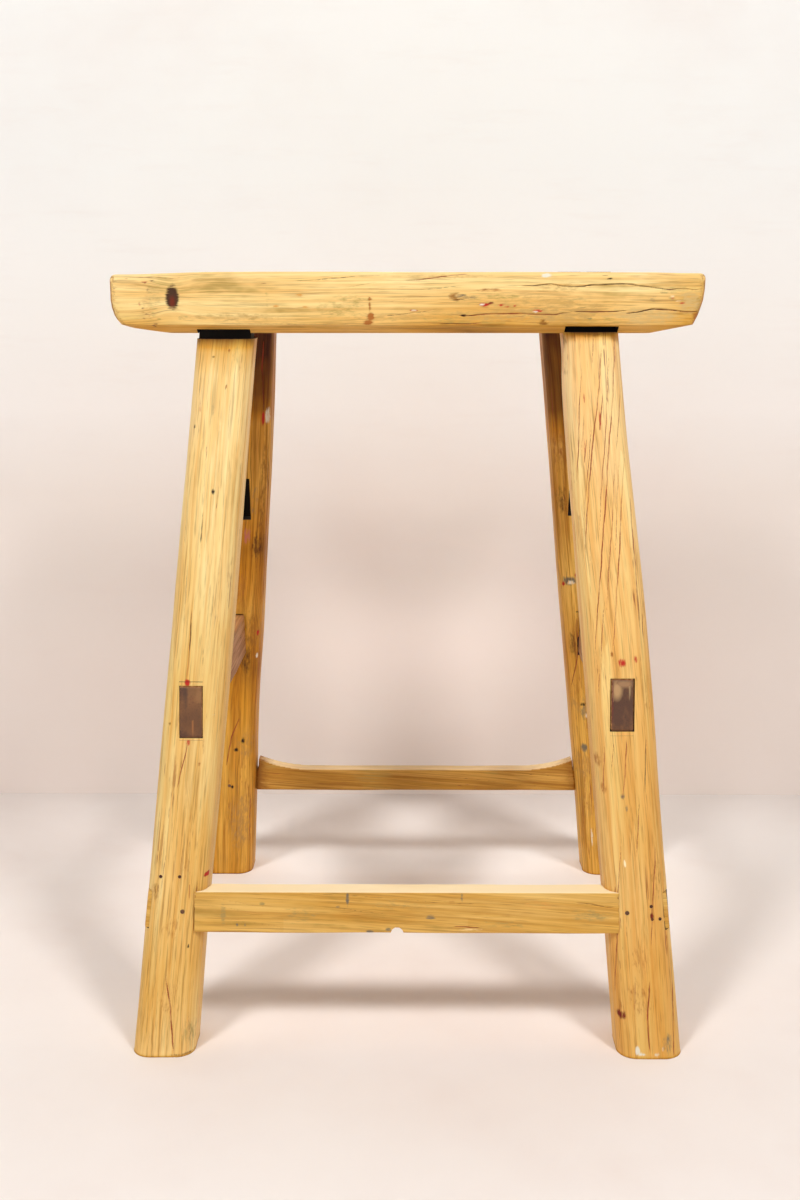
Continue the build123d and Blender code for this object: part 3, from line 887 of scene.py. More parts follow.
# A near-black finish for holes, gaps and the necks under the seat: painted shade with a faint
# mottle.
dark_hole, tree, shader = new_material("mortise_shade")
shade_mottle = speckle(own_place(tree), (400, 400, 120), detail=3)
feed(shader, Base_Color=blend(shade_mottle, srgb(14, 9, 6), srgb(38, 24, 15)), Roughness=0.9)
print("leg finishes:", len(LEG_FINISHES))

# %% [markdown]
# ## Marks on the legs, as the photograph shows them
# A crack is noted as its width and depth in millimetres and then the pixels it runs through,
# x and y in turn. A spot is noted as its pixel, its half width and half height in
# millimetres, its colour and its strength.

# %% Note the legs' cracks
LEG_CRACKS = {
    "front_left": [
        (1, 0.7, 192, 607, 189, 652, 187, 680), (0.9, 0.6, 188, 742, 183, 762, 177, 790),
        (0.6, 0.3, 187, 560, 183, 634), (0.6, 0.3, 204, 640, 202, 679),
        (0.5, 0.2, 200, 371, 199, 406), (0.7, 0.3, 206, 444, 206, 462),
        (0.5, 0.3, 203, 518, 199, 560), (0.5, 0.3, 219, 483, 215, 521),
        (0.6, 0.3, 240, 462, 238, 491), (0.5, 0.3, 187, 491, 183, 560),
        (0.5, 0.3, 165, 761, 163, 781), (1.2, 0.8, 189, 884, 189, 901),
        (1.6, 1, 174.5, 1060, 172, 1035, 170, 1010, 165, 975), (0.5, 0.3, 190, 1050, 187, 1010),
        (0.6, 0.4, 166, 850, 160, 900), (0.8, 0.5, 150, 890, 148, 930),
        # The next crack runs down the front stretcher's end: partly a real groove, partly painted
        # shade in the joint.
        (1.4, 0.9, 197, 886, 193.5, 934),
    ],
    "front_right": [
        (0.7, 0.6, 582, 368, 580, 397, 579, 428, 577, 484), (0.5, 0.4, 594, 333, 592, 366),
        (0.8, 0.8, 602, 343, 600, 374, 597, 409, 593, 445, 589, 483, 585, 560),
        (1, 0.9, 616, 347, 613, 397, 610, 438, 607, 480, 602, 560, 599, 590, 595, 658),
        (0.9, 0.5, 603, 392, 599, 433), (0.6, 0.6, 616, 454, 610, 560, 606, 617),
        (0.5, 0.5, 620, 452, 617, 512, 615, 560),
        (0.8, 0.7, 625, 455, 622, 505, 619, 560, 616, 613, 612, 658),
        (0.8, 0.4, 587, 439, 584, 465), (1.1, 0.6, 631, 497, 636, 560, 638, 598),
        (0.5, 0.5, 584, 409, 582, 454), (0.7, 0.5, 643, 613, 645, 646),
        (0.5, 0.6, 609, 350, 607, 410, 603, 470, 599, 540),
        (0.5, 0.5, 592, 420, 588, 470, 583, 530), (0.5, 0.5, 622, 380, 619, 430, 616, 452),
        (0.5, 0.5, 605, 600, 602, 640, 600, 672), (0.9, 0.8, 627, 738, 625, 774, 623, 800),
        (0.6, 0.5, 605, 744, 603, 796), (0.7, 0.6, 647, 736, 645, 796),
        (0.5, 0.4, 614, 739, 612, 774), (0.5, 0.4, 600, 667, 599, 698),
        (0.7, 0.6, 621, 840, 618, 905, 616, 1000), (0.8, 0.7, 656, 845, 654, 890, 651, 948),
        (0.9, 0.7, 672, 950, 675, 1000, 674, 1054), (1.1, 1, 650, 980, 648, 1020, 650, 1056),
        (0.6, 0.5, 635, 975, 635, 1013), (0.8, 0.5, 664, 900, 668, 960),
        # The second crack below runs down the front stretcher's end: partly a real groove, partly
        # painted shade in the joint.
        (0.6, 0.5, 640, 800, 636, 860), (1.2, 0.8, 615.6, 886, 615, 930),
        (1.3, 1, 674, 1040, 675, 1058),
    ],
    "back_left": [
        (1.8, 1.2, 264, 340, 262, 370, 264, 412), (1.4, 0.9, 240, 717, 231, 738, 226, 767),
        (0.9, 0.5, 268, 440, 266, 520, 262, 600), (0.7, 0.4, 259, 640, 256, 720),
        (0.6, 0.4, 238, 780, 236, 830), (0.7, 0.4, 250, 790, 249, 850),
    ],
    "back_right": [
        (1.2, 0.9, 577, 617, 578, 652, 572, 688), (0.5, 0.3, 566, 560, 569, 600),
        (0.6, 0.4, 590, 770, 592, 820), (0.6, 0.3, 582, 780, 585, 850),
        (0.6, 0.3, 550, 360, 556, 470),
    ],
}
# How dark each leg grows with height, as (height in mm, darkening): aged and worn stretches, a
# dark line at the very foot, and at the top painted shade under the seat, which on the back legs
# is the seat's painted shadow.
LEG_AGE_AND_SHADE = {
    "front_left": [
        (0, 1.6), (1.5, 0.3), (30, 0.45), (60, 0.6), (110, 0.5), (160, 0.45), (200, 0.45),
        (245, 0.5), (300, 0.3), (360, 0.1), (400, -0.1), (435, -0.1), (450, 0.6), (458, 1.8),
    ],
    "front_right": [
        (0, 1.6), (1.5, 0.7), (40, 0.65), (90, 0.6), (110, 0.45), (170, 0.5), (250, 0.4),
        (350, -0.1), (430, -0.3), (456, -0.2), (460, 0.9), (462, 1.6),
    ],
    "back_left": [
        (0, 1.8), (1.5, 0.6), (60, 0.6), (130, 0.7), (190, 1.2), (240, 0.3), (290, 1.25),
        (340, 0.3), (390, 0.4), (400, 1.3), (412, 1.7), (458, 2),
    ],
    "back_right": [
        (0, 1.8), (1.5, 0.3), (60, 0.2), (150, 0.4), (200, 0.7), (260, 0.1), (340, 0.7),
        (372, 0.4), (380, 0.9), (400, 1.8), (458, 2),
    ],
}
SIDE_DARKENING_CAP = 0.75
CALM_FROM = 300
HAIRLINES_ELSEWHERE = 14
LEG_REACH = (19.0, 5.0, 450.0)
HAIRLINES = {"front_left": 4, "front_right": 3, "back_left": 6, "back_right": 5}
LEAN_OF_GRAIN = {"front_left": -0.02, "front_right": 0.045, "back_left": -0.01, "back_right": 0.02}
print("cracks noted:", sum(len(lines) for lines in LEG_CRACKS.values()))

# %% Note the legs' spots
PAINT_RED = srgb(190, 48, 38)
DEEP_RED = srgb(120, 38, 26)
WHITEWASH = srgb(232, 226, 208)
SLATE = srgb(120, 108, 88)
SOOT = srgb(40, 26, 18)
CINNAMON = srgb(176, 108, 48)
MOSS = srgb(160, 138, 84)
DEEP_BROWN = srgb(92, 54, 20)
OLD_PINK = srgb(190, 108, 92)
FADED = srgb(178, 132, 72)
LEG_SPOTS = {
    "front_left": [
        (186, 871, 3, 9, CINNAMON, 0.35), (204, 744, 1.2, 8, CINNAMON, 0.4),
        (213, 492, 1.1, 1.7, SOOT, 0.9), (194, 427, 0.8, 1.5, SOOT, 0.7),
        (213, 410, 1, 4.5, SLATE, 0.5), (226, 387, 0.7, 1.6, CINNAMON, 0.8),
        (229, 351, 1, 0.9, CINNAMON, 0.9), (213, 357, 1.2, 0.9, UMBER, 0.7),
        (169, 725, 1.1, 1, UMBER, 0.8), (199, 764, 0.9, 1.6, CINNAMON, 0.7),
        (200, 408, 0.8, 5, PAINT_RED, 0.4), (206, 452, 0.6, 5, PAINT_RED, 0.5),
        (187, 683, 2.2, 2.4, PAINT_RED, 0.7), (188, 743, 1.4, 2.4, PAINT_RED, 0.8),
        (208, 878, 3.4, 1.6, PAINT_RED, 1.3), (213, 715, 3.5, 0.5, WHITEWASH, 0.5),
        (188, 947, 1, 1, SOOT, 0.8), (155, 893, 2.6, 7, UMBER, 0.5),
        (170, 1000, 9, 16, CINNAMON, 0.3), (190, 1035, 7, 9, MOSS, 0.4),
        (182, 1056, 9, 1.2, UMBER, 0.6), (172, 930, 7, 12, CINNAMON, 0.28),
        (237, 355, 5, 9, MOSS, 0.3),
    ],
    "front_right": [
        (600, 420, 0.8, 6, PAINT_RED, 0.7), (585, 448, 0.7, 6, PAINT_RED, 0.5),
        (622, 663, 2.6, 3, PAINT_RED, 0.75), (636, 660, 1.6, 2.6, PAINT_RED, 0.6),
        (612, 655, 1.2, 2.4, CINNAMON, 0.7), (584, 398, 0.7, 3.5, PAINT_RED, 0.5),
        (617, 922, 1.6, 3.2, PAINT_RED, 1), (612, 905, 1, 2, DEEP_RED, 0.8),
        (592, 335, 8, 2, UMBER, 0.5), (599, 762, 2.5, 5, CINNAMON, 0.6),
        (604, 790, 2.2, 4, CINNAMON, 0.6), (638, 1051, 1.7, 3.4, WHITEWASH, 0.8),
        (642, 1055, 2.6, 1.3, WHITEWASH, 0.8), (657, 1055, 2, 1.6, WHITEWASH, 0.7),
        (663, 1050, 0.8, 2, WHITEWASH, 0.5), (668, 1045, 4, 7, SLATE, 0.5),
        (622, 1017, 3.6, 3.2, DEEP_RED, 0.75), (621, 1008, 1.2, 4.5, CINNAMON, 0.6),
        (623, 797, 1.6, 2, SLATE, 0.7), (627, 809, 1.3, 2.4, SLATE, 0.6),
        (652, 917, 1.2, 2.6, DEEP_RED, 0.9), (625, 864, 0.8, 3, WORN_TONE, 0.7),
        (630, 899, 0.6, 0.6, WHITEWASH, 0.8), (640, 1000, 9, 15, CINNAMON, 0.35),
        (657, 880, 6, 16, UMBER, 0.3), (640, 960, 8, 12, CINNAMON, 0.3),
        (648, 700, 3, 14, CINNAMON, 0.35), (564, 340, 2, 6, UMBER, 0.5),
        (566, 372, 1.6, 3, UMBER, 0.4),
    ],
    "back_left": [
        (240, 820, 11, 34, FADED, 0.5), (246, 745, 9, 18, FADED, 0.4),
        (267, 416, 2.2, 6.5, WHITEWASH, 0.75), (263, 418, 1.1, 6, PAINT_RED, 0.9),
        (247, 536, 3.2, 8.5, OLD_PINK, 0.6), (243, 741, 1.8, 2.6, SOOT, 0.8),
        (236, 750, 2.2, 2, SOOT, 0.8), (257, 634, 1.3, 3, PAINT_RED, 0.8),
        (256, 657, 1.3, 3, WHITEWASH, 0.7), (232, 787, 1.5, 1.5, SOOT, 0.9),
        (262, 500, 3, 60, UMBER, 0.45), (250, 640, 9, 40, UMBER, 0.4),
        (240, 590, 6, 20, CINNAMON, 0.4), (247, 575, 3, 8, CINNAMON, 0.3),
        # The deep brown spot at 246, 660 lies just under the side rail: painted shade.
        (254, 500, 4, 16, SLATE, 0.3), (246, 660, 5, 15, DEEP_BROWN, 0.55), (257, 545, 6, 13, DEEP_BROWN, 0.5),
    ],
    "back_right": [
        (580, 700, 9, 18, FADED, 0.45), (584, 765, 9, 16, FADED, 0.45),
        (570, 581, 6, 4, SLATE, 0.75), (571, 583, 3.6, 1.8, WHITEWASH, 0.6),
        (576, 575, 1, 1.8, PAINT_RED, 0.9), (564, 585, 1.2, 1.8, PAINT_RED, 0.8),
        (580, 612, 3, 0.9, SOOT, 0.9), (583, 705, 2.4, 2.6, SOOT, 0.75),
        (585, 712, 5, 7, SLATE, 0.55), (587, 716, 1.8, 2.4, WHITEWASH, 0.6),
        (584, 748, 2.8, 4.5, SLATE, 0.75), (599, 762, 2, 4, CINNAMON, 0.7),
        (592, 836, 0.9, 10, WHITEWASH, 0.6), (562, 500, 5, 14, DEEP_BROWN, 0.45),
        # The deep brown spot at 573, 645 lies just under the side rail: painted shade.
        (573, 645, 3.5, 14, DEEP_BROWN, 0.45), (560, 450, 8, 20, CINNAMON, 0.4),
        (578, 690, 8, 20, CINNAMON, 0.3), (590, 800, 8, 16, CINNAMON, 0.3),
    ],
}
print("spots noted:", sum(len(spots) for spots in LEG_SPOTS.values()))

# %% [markdown]
# A leg is not quite straight: planing and wear moved its edges by a millimetre or two. Each
# note says at what height, over what length, and how far the left and right edges moved.

# %% Note how the legs' edges wander
LEG_EDGES = {
    "front_left": [(230, 900, 1.5, 0.0), (60, 90, 0.0, -1.2), (225, 80, 0.0, 0.4)],
    "front_right": [(265, 75, 0.0, 1.6), (420, 60, 0.0, -0.7), (40, 100, 0.0, -0.7),
                    (455, 22, 2.0, 0.0)],
    "back_left": [(370, 60, 0.0, 1.0), (150, 55, 0.0, -1.6), (15, 40, 0.0, 0.6)],
    "back_right": [(270, 90, -0.8, 0.0)],
}


def wander(points, leg):
    """Moves a leg's edges as noted. The foot and the shoulder keep their heights."""
    height = points[:, 2] / MM
    across = (points[:, 0] - leg_middle(leg, points[:, 2])[0]) / leg_width(points[:, 2])
    right_share = np.clip(across + 0.5, 0, 1)
    for place, spread, left, right in LEG_EDGES[leg]:
        weight = np.exp(-(((height - place) / spread) ** 2))
        points[:, 0] += weight * (left * (1 - right_share) + right * right_share) * MM
    return points


print("edge notes:", sum(len(notes) for notes in LEG_EDGES.values()))

# %% [markdown]
# ## Marking a leg
# Each of a leg's four sides is unrolled into how far across it and how high a point lies.
# The front side gets the noted marks and some random hairlines, and the others hairlines
# alone. The points in a crack sink in, so the crack is real when light rakes over it.

# %% Define how a leg is marked
FACING = 0.6


def on_front(pixel, row="front_"):
    """A pixel's place on the leaning front of the legs: millimetres across and up."""
    leg = row + "left"
    face = leg_middle(leg, 0)[1] - leg_width(0) / 2
    top = leg_middle(leg, SHOULDER)[1] - leg_width(SHOULDER) / 2
    place = seen_at(pixel, face, (top - face) / SHOULDER) / MM
    return place[0], place[2]


def on_leg(leg, pixel):
    """A pixel's place on a leg's front side: millimetres across and up."""
    x, z = on_front(pixel, leg.split("_")[0] + "_")
    return x - leg_middle(leg, z * MM)[0] / MM, z


def leg_sides(mesh, leg):
    """For each side of a leg: how far across it the points lie, and which points are on it."""
    points, looks = points_of(mesh), normals_of(mesh)
    x, y = leg_middle(leg, points[:, 2])
    right, back = (points[:, 0] - x) / MM, (points[:, 1] - y) / MM
    not_front = looks[:, 1] > -0.5
    return {
        "front": (right, looks[:, 1] < -0.15),
        "behind": (right, looks[:, 1] > FACING),
        "left": (back, (looks[:, 0] < -FACING) & not_front),
        "right": (back, (looks[:, 0] > FACING) & not_front),
    }


def mark_leg(piece, leg):
    """Carves and stores a leg's marks, and says where each point lies in the wood."""
    mesh = piece.data
    height = points_of(mesh)[:, 2] / MM
    sides = leg_sides(mesh, leg)
    groups = []
    for seed, (side, (across, seen)) in enumerate(sides.items()):
        count = HAIRLINES[leg] if side == "front" else HAIRLINES_ELSEWHERE
        lines = hairlines(count, 10 * seed + len(leg), *LEG_REACH, LEAN_OF_GRAIN[leg])
        if side == "front":
            lines += noted_cracks(LEG_CRACKS[leg], partial(on_leg, leg))
        groups.append((across, height, seen, lines))
    crack, sink = deepest(*groups)
    spots = noted_spots(LEG_SPOTS[leg], partial(on_leg, leg))
    cover = spot_cover(sides["front"][0], height, sides["front"][1], spots)
    sink_in(mesh, sink, (1, 1, 0))
    points = points_of(mesh)
    x, y = leg_middle(leg, points[:, 2])
    # The noted darkening by height, with painted shade under the seat at the top. Above CALM_FROM
    # it is full only on the sides that face the front; the other sides are held to a lower cap.
    age = np.interp(height, *zip(*LEG_AGE_AND_SHADE[leg]))
    to_front = smooth_step(-normals_of(mesh)[:, 1], -0.5, 0.7)
    calm = np.minimum(age, SIDE_DARKENING_CAP)
    age = np.where(height > CALM_FROM, calm + (age - calm) * to_front, age)
    grains_and_marks(mesh, points - np.c_[x, y, np.zeros(len(points))], crack, cover, age)


print("ready to mark")

# %% [markdown]
# ## Cutting the joints
# The tools that cut a mortise are copies of the imported pieces that fill it, made a hair
# thicker and pushed out through the face. So every hole fits its tenon, wedge or rail, with
# the thin dark line round it that an old joint shows. The tools carry the near-black mortise
# shade, so the walls they cut, the empty mortises' too, are painted shade.

# %% Define the joint cutters
JOINT_GAP = 0.25 * MM
LOOSE_GAP = 0.3 * MM
CORNER_SHARE = 1.6
PUSH_OUT = 5 * MM
STRETCHER_END = 155 * MM
RAIL_END = 122 * MM
TENON_SIZE = (34 * MM, 20 * MM)
TENON_ROOT = 448 * MM
NECK_SIZE = (33.6 * MM, 19.6 * MM)
NECK_TOP = 467 * MM
EMPTY_MORTISE = {"left": (15 * MM, 22 * MM, 32.5 * MM), "right": (18 * MM, 22 * MM, 33.5 * MM)}
EMPTY_MORTISE_HEIGHT = {"left": 331 * MM, "right": 335 * MM}


def fat_cutter(node):
    """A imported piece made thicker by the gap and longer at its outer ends."""
    tool = merged_copy(node, "cutter")
    gap = JOINT_GAP + (LOOSE_GAP if node == "side_rail_right" else 0)
    points = points_of(tool.data) + normals_of(tool.data) * gap * CORNER_SHARE
    axis, start = (0, STRETCHER_END) if "stretcher" in node else (1, RAIL_END)
    ends = np.abs(points[:, axis]) > start
    points[ends, axis] += np.sign(points[ends, axis]) * PUSH_OUT
    move_points(tool.data, points)
    tool.data.materials.clear()
    tool.data.materials.append(dark_hole)
    return tool


def leg_block(leg, low, high, size, material):
    """A block along a leg's slanted middle."""
    return prism([rectangle(*leg_middle(leg, height), height, *size) for height in (low, high)],
                 material)


def empty_mortise(leg):
    """The tool for the blind mortise in a leg's inner face."""
    side = leg.split("_")[1]
    width, depth, tall = EMPTY_MORTISE[side]
    height = EMPTY_MORTISE_HEIGHT[side]
    x, y = leg_middle(leg, height)
    face = y - row_of(leg) * leg_width(height) / 2
    return prism([rectangle(x, face, height + end * tall / 2, width, 2 * depth)
                  for end in (-1, 1)], dark_hole)


JOINT_NODES = {
    "front_left": ("side_rail_left", "front_stretcher", "rail_wedge_front_left_upper",
                   "rail_wedge_front_left_lower"),
    "front_right": ("side_rail_right", "front_stretcher", "rail_wedge_front_right"),
    "back_left": ("side_rail_left", "back_stretcher"),
    "back_right": ("side_rail_right", "back_stretcher"),
}
print("joints to cut:", sum(len(nodes) + 1 for nodes in JOINT_NODES.values()))

# %% [markdown]
# Now a leg goes through the whole workshop: swept, edges moved, tenon joined on top, joints
# cut, cracks carved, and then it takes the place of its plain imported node.

# %% Make the four legs
def finish_faces(mesh, slot, test):
    """Gives a material slot to the faces whose middle and direction pass a test."""
    for face in mesh.polygons:
        if test(face.center, face.normal):
            face.material_index = slot


def make_leg(leg, seed):
    """One finished leg."""
    shoulder = SHOULDER + SHOULDER_RISE.get(leg, 0)
    foot, top = np.array(leg_middle(leg, 0)), np.array(leg_middle(leg, shoulder))
    name = "old_leg_" + leg
    piece = run_tree(new_object(name, bpy.data.meshes.new(name)), leg_rule, {
        "Section": section, "Height": shoulder, "Rows": LEG_ROWS,
        "Top share": leg_width(shoulder) / LEG_FOOT_WIDTH, "Foot place": (*foot, 0.0),
        "Lean": (*(top - foot), 0.0), "Hewing": LEG_HEWING, "Seed": seed,
        "Finish": LEG_FINISHES[leg]})
    move_points(piece.data, wander(points_of(piece.data), leg))
    # The neck from the leg's shoulder up to the seat is made in the near-black mortise shade:
    # painted shade in the gap under the seat.
    cut(piece, leg_block(leg, TENON_ROOT, NECK_TOP, NECK_SIZE, dark_hole),
        leg_block(leg, NECK_TOP - MM, SEAT_TOP, TENON_SIZE, LEG_FINISHES[leg]), union=True)
    tools = [fat_cutter(node) for node in JOINT_NODES[leg]]
    cut(piece, *tools, empty_mortise(leg), fat_cutter("seat_wedge_" + leg))
    mark_leg(piece, leg)
    # Faces between the shoulder and the neck's top get the same near-black finish: painted shade.
    holes = piece.data.materials.find("mortise_shade")
    finish_faces(piece.data, holes, lambda at, look: shoulder - 0.1 * MM < at.z < NECK_TOP)
    dress(piece, ["leg_" + leg], "leg_wood", TENON_END)
    finish_faces(piece.data, len(piece.data.materials) - 1,
                 lambda at, look: abs(look.z) > 0.9 and not MM < at.z < SEAT_TOP - MM)


for number, leg in enumerate(LEG_FINISHES):
    make_leg(leg, 3.0 + 7.7 * number)
bpy.data.objects.remove(section)

# %% [markdown]
# ## The seat
# The plank is a box whose outline changes with height: upright above, turned in at the ends
# below, and bevelled to the underside. A closed lattice of points is laid over a plain box,
# close together where the camera looks, and every point is then moved by the same few rules.
# Lattice points share whole-number places, so welding them needs no guess about distance.

# %% Lay a closed lattice over a box
SEAT_HALF_LENGTH = 189.5
SEAT_HALF_DEPTH = 95.0
SEAT_UNDERSIDE = 461.5
SEAT_EDGE = 467.0
SEAT_TURN = 483.0
SEAT_TOP_MM = 500.0
SEAT_MIDDLE = 480
SEAT_COUNTS = (262, 74, 72)


def box_lattice(counts):
    """Whole-number places on the six sides of a box, and the faces between them."""
    quads = []
    for axis, count in enumerate(counts):
        first, second = [other for other in range(3) if other != axis]
        for end in (0, count - 1):
            u, v = np.meshgrid(np.arange(counts[first] - 1), np.arange(counts[second] - 1))
            quad = np.zeros((u.size, 4, 3), int)
            for corner, (right, up) in enumerate(((0, 0), (1, 0), (1, 1), (0, 1))):
                quad[:, corner, first] = u.ravel() + right
                quad[:, corner, second] = v.ravel() + up
            quad[:, :, axis] = end
            quads.append(quad if (end > 0) != (axis == 1) else quad[:, ::-1])
    quads = np.vstack(quads)
    places, faces = np.unique(quads.reshape(-1, 3), axis=0, return_inverse=True)
    return places, faces.reshape(-1, 4)


places, faces = box_lattice(SEAT_COUNTS)
print("seat lattice:", len(places), "points,", len(faces), "faces")

# %% [markdown]
# The rules come in turn: find how far each height is drawn in, round the four corners, round
# the top edges, let the ends droop, and hew the faces. Each works on all points at once.

# %% Shape the plank
CORNER_ROUND = 5.5
TOP_ROUND = 4.2
DROOPS = ((-1, 1.6, 120, 182), (1, 0.7, 150, 185))
FACE_WEAR = 0.7
FACE_SWELL = ((0.09, 0.05, 0.03), 11)
TOP_WEAR = 0.55
TOP_SWELL = ((0.12, 0.04, 0.1), 23)
TINY = 1e-9
LOW_ROWS = 8
LEFT_END = ([SEAT_UNDERSIDE, 462.4, 464.8, SEAT_EDGE, 470, 473, 478, SEAT_TURN, SEAT_TOP_MM],
            [36.0, 29.0, 13.5, 7.0, 4.4, 2.7, 1.2, 0.5, 0.4])
RIGHT_END = ([SEAT_UNDERSIDE, SEAT_EDGE, 473, 478, SEAT_TURN, 490, SEAT_TOP_MM],
             [33.0, 7.5, 4.6, 2.9, 1.5, 0.7, 0.4])
LONG_SIDE = ([SEAT_UNDERSIDE, SEAT_EDGE, 468.2], [11.0, 0.5, 0.2])


def draw_in(height, left):
    """How far the ends and the long sides are drawn in at each height, in millimetres."""
    end = np.where(left, np.interp(height, *LEFT_END), np.interp(height, *RIGHT_END))
    return end, np.interp(height, *LONG_SIDE)


def round_plan(x, y, radius):
    """Turns the square corners of the plan round, the inner points with them."""
    flat = np.array([SEAT_HALF_LENGTH - radius, SEAT_HALF_DEPTH - radius])
    past = np.maximum(np.abs(np.c_[x, y]) - flat, 0)
    both = (past > 0).all(axis=1)
    pull = past.max(axis=1) / np.maximum(np.hypot(*past.T), TINY)
    turned = np.sign(np.c_[x, y]) * (flat + past * pull[:, None])
    return np.where(both, turned[:, 0], x), np.where(both, turned[:, 1], y)


def round_top(x, y, z):
    """Rounds the edges between the top and the sides."""
    flat = np.array([SEAT_HALF_LENGTH - TOP_ROUND, SEAT_HALF_DEPTH - TOP_ROUND])
    past = np.maximum(np.abs(np.c_[x, y]) - flat, 0)
    outward = np.hypot(*past.T)
    upward = np.maximum(z - (SEAT_TOP_MM - TOP_ROUND), 0)
    both = (outward > 0) & (upward > 0)
    reach = np.maximum(np.maximum(past.max(axis=1), upward), TINY)
    pull = np.where(both, reach / np.maximum(np.hypot(outward, upward), TINY), 1)
    turned = np.sign(np.c_[x, y]) * (flat + past * pull[:, None])
    x, y = np.where(past > 0, turned, np.c_[x, y]).T
    return x, y, np.where(both, SEAT_TOP_MM - TOP_ROUND + upward * pull, z)


def seat_points(places):
    """The plank's points in metres."""
    unit = places / (np.array(SEAT_COUNTS) - 1)
    x = (2 * unit[:, 0] - 1) * SEAT_HALF_LENGTH
    y = (2 * unit[:, 1] - 1) * SEAT_HALF_DEPTH
    low = np.linspace(SEAT_UNDERSIDE, SEAT_EDGE, LOW_ROWS)[:-1]
    high = np.linspace(SEAT_EDGE, SEAT_TOP_MM, SEAT_COUNTS[2] - len(low))
    z = np.r_[low, high][places[:, 2]]
    end, side = draw_in(z, x < 0)
    long_share, deep_share = 1 - end / SEAT_HALF_LENGTH, 1 - side / SEAT_HALF_DEPTH
    x, y, z = round_top(*round_plan(x, y, CORNER_ROUND), z)
    x, y = x * long_share, y * deep_share
    raised = smooth_step(z, SEAT_EDGE, SEAT_TOP_MM)
    for side, droop, start, full in DROOPS:
        z = z - raised * droop * smooth_step(side * x, start, full)
    points = np.c_[x, y, z] * MM
    face_swell = 0.5 + 0.5 * ripple(points, *FACE_SWELL)
    y_in = FACE_WEAR * face_swell * (np.abs(y) > SEAT_HALF_DEPTH - 20) * raised
    points[:, 1] -= np.sign(y) * y_in * MM
    top_swell = 0.5 + 0.5 * ripple(points, *TOP_SWELL)
    near_top = smooth_step(z, SEAT_TOP_MM - 3, SEAT_TOP_MM)
    points[:, 2] -= TOP_WEAR * MM * top_swell * near_top
    return points


seat = solid("old_seat", seat_points(places), faces)
print("seat size in mm:", (np.ptp(points_of(seat.data), axis=0) / MM).round(1))

# %% [markdown]
# The front edge of the plank carries the stool's best-known marks: an oval knot, two long
# cracks that run out at the right end, flecks of red paint, a brown drip, a triangular chip.

# %% Note the seat's marks
SEAT_CRACKS = [
    (1, 1, 513, 286.5, 534, 286, 550, 283.7, 563, 286, 584, 286.3, 591, 285.2, 608, 284.9,
     624, 284.2, 632, 284.2, 639, 285.8, 652, 286.8, 662, 288.3, 669, 289.7, 678, 289,
     687, 289, 695, 290.4, 704, 289.4),
    (1, 0.9, 452, 314.8, 468, 315.6, 480, 314.5, 515, 314, 555, 314.5, 563, 312.6, 572, 312.8),
    (0.8, 0.7, 573, 311.6, 595, 312.4, 611, 311.4, 628, 310.3),
    (1, 0.9, 624, 313.3, 640, 312, 653, 309.3, 669, 310.3, 684, 311.6, 700, 311.4),
    (0.8, 0.5, 403, 281, 430, 278.3, 452, 275.3, 479, 273.2),
    (0.5, 0.3, 413, 290.6, 438, 288.5, 465, 286), (0.4, 0.2, 395, 299.8, 415, 297.7),
    (0.7, 0.3, 439, 300.2, 456, 299.8, 473, 297.7), (0.6, 0.3, 471, 291.6, 503, 288.5),
    (0.6, 0.4, 377, 317.5, 400, 314.9, 418, 312.5, 436, 309), (0.5, 0.3, 513, 317, 527, 316),
    (0.8, 0.4, 424, 324.3, 464, 324.2, 493, 322),
    (0.6, 0.4, 289, 281, 320, 279.6, 347, 277.3, 394, 274),
    (0.6, 0.3, 346, 288.4, 359, 285, 376, 282.8), (0.5, 0.3, 601, 275.6, 610, 275.3),
    (0.5, 0.3, 258, 283, 268, 283), (0.4, 0.2, 259, 314, 276, 313), (0.5, 0.3, 326, 314, 346, 313),
    (0.4, 0.2, 380, 301, 400, 301.5), (0.4, 0.2, 182, 298, 200, 298.5),
    (0.6, 0.3, 116, 279, 150, 277.2, 171, 278.5, 190, 274.8),
]
DULL = srgb(198, 158, 92)
DUSTY_STRAW = srgb(212, 178, 116)
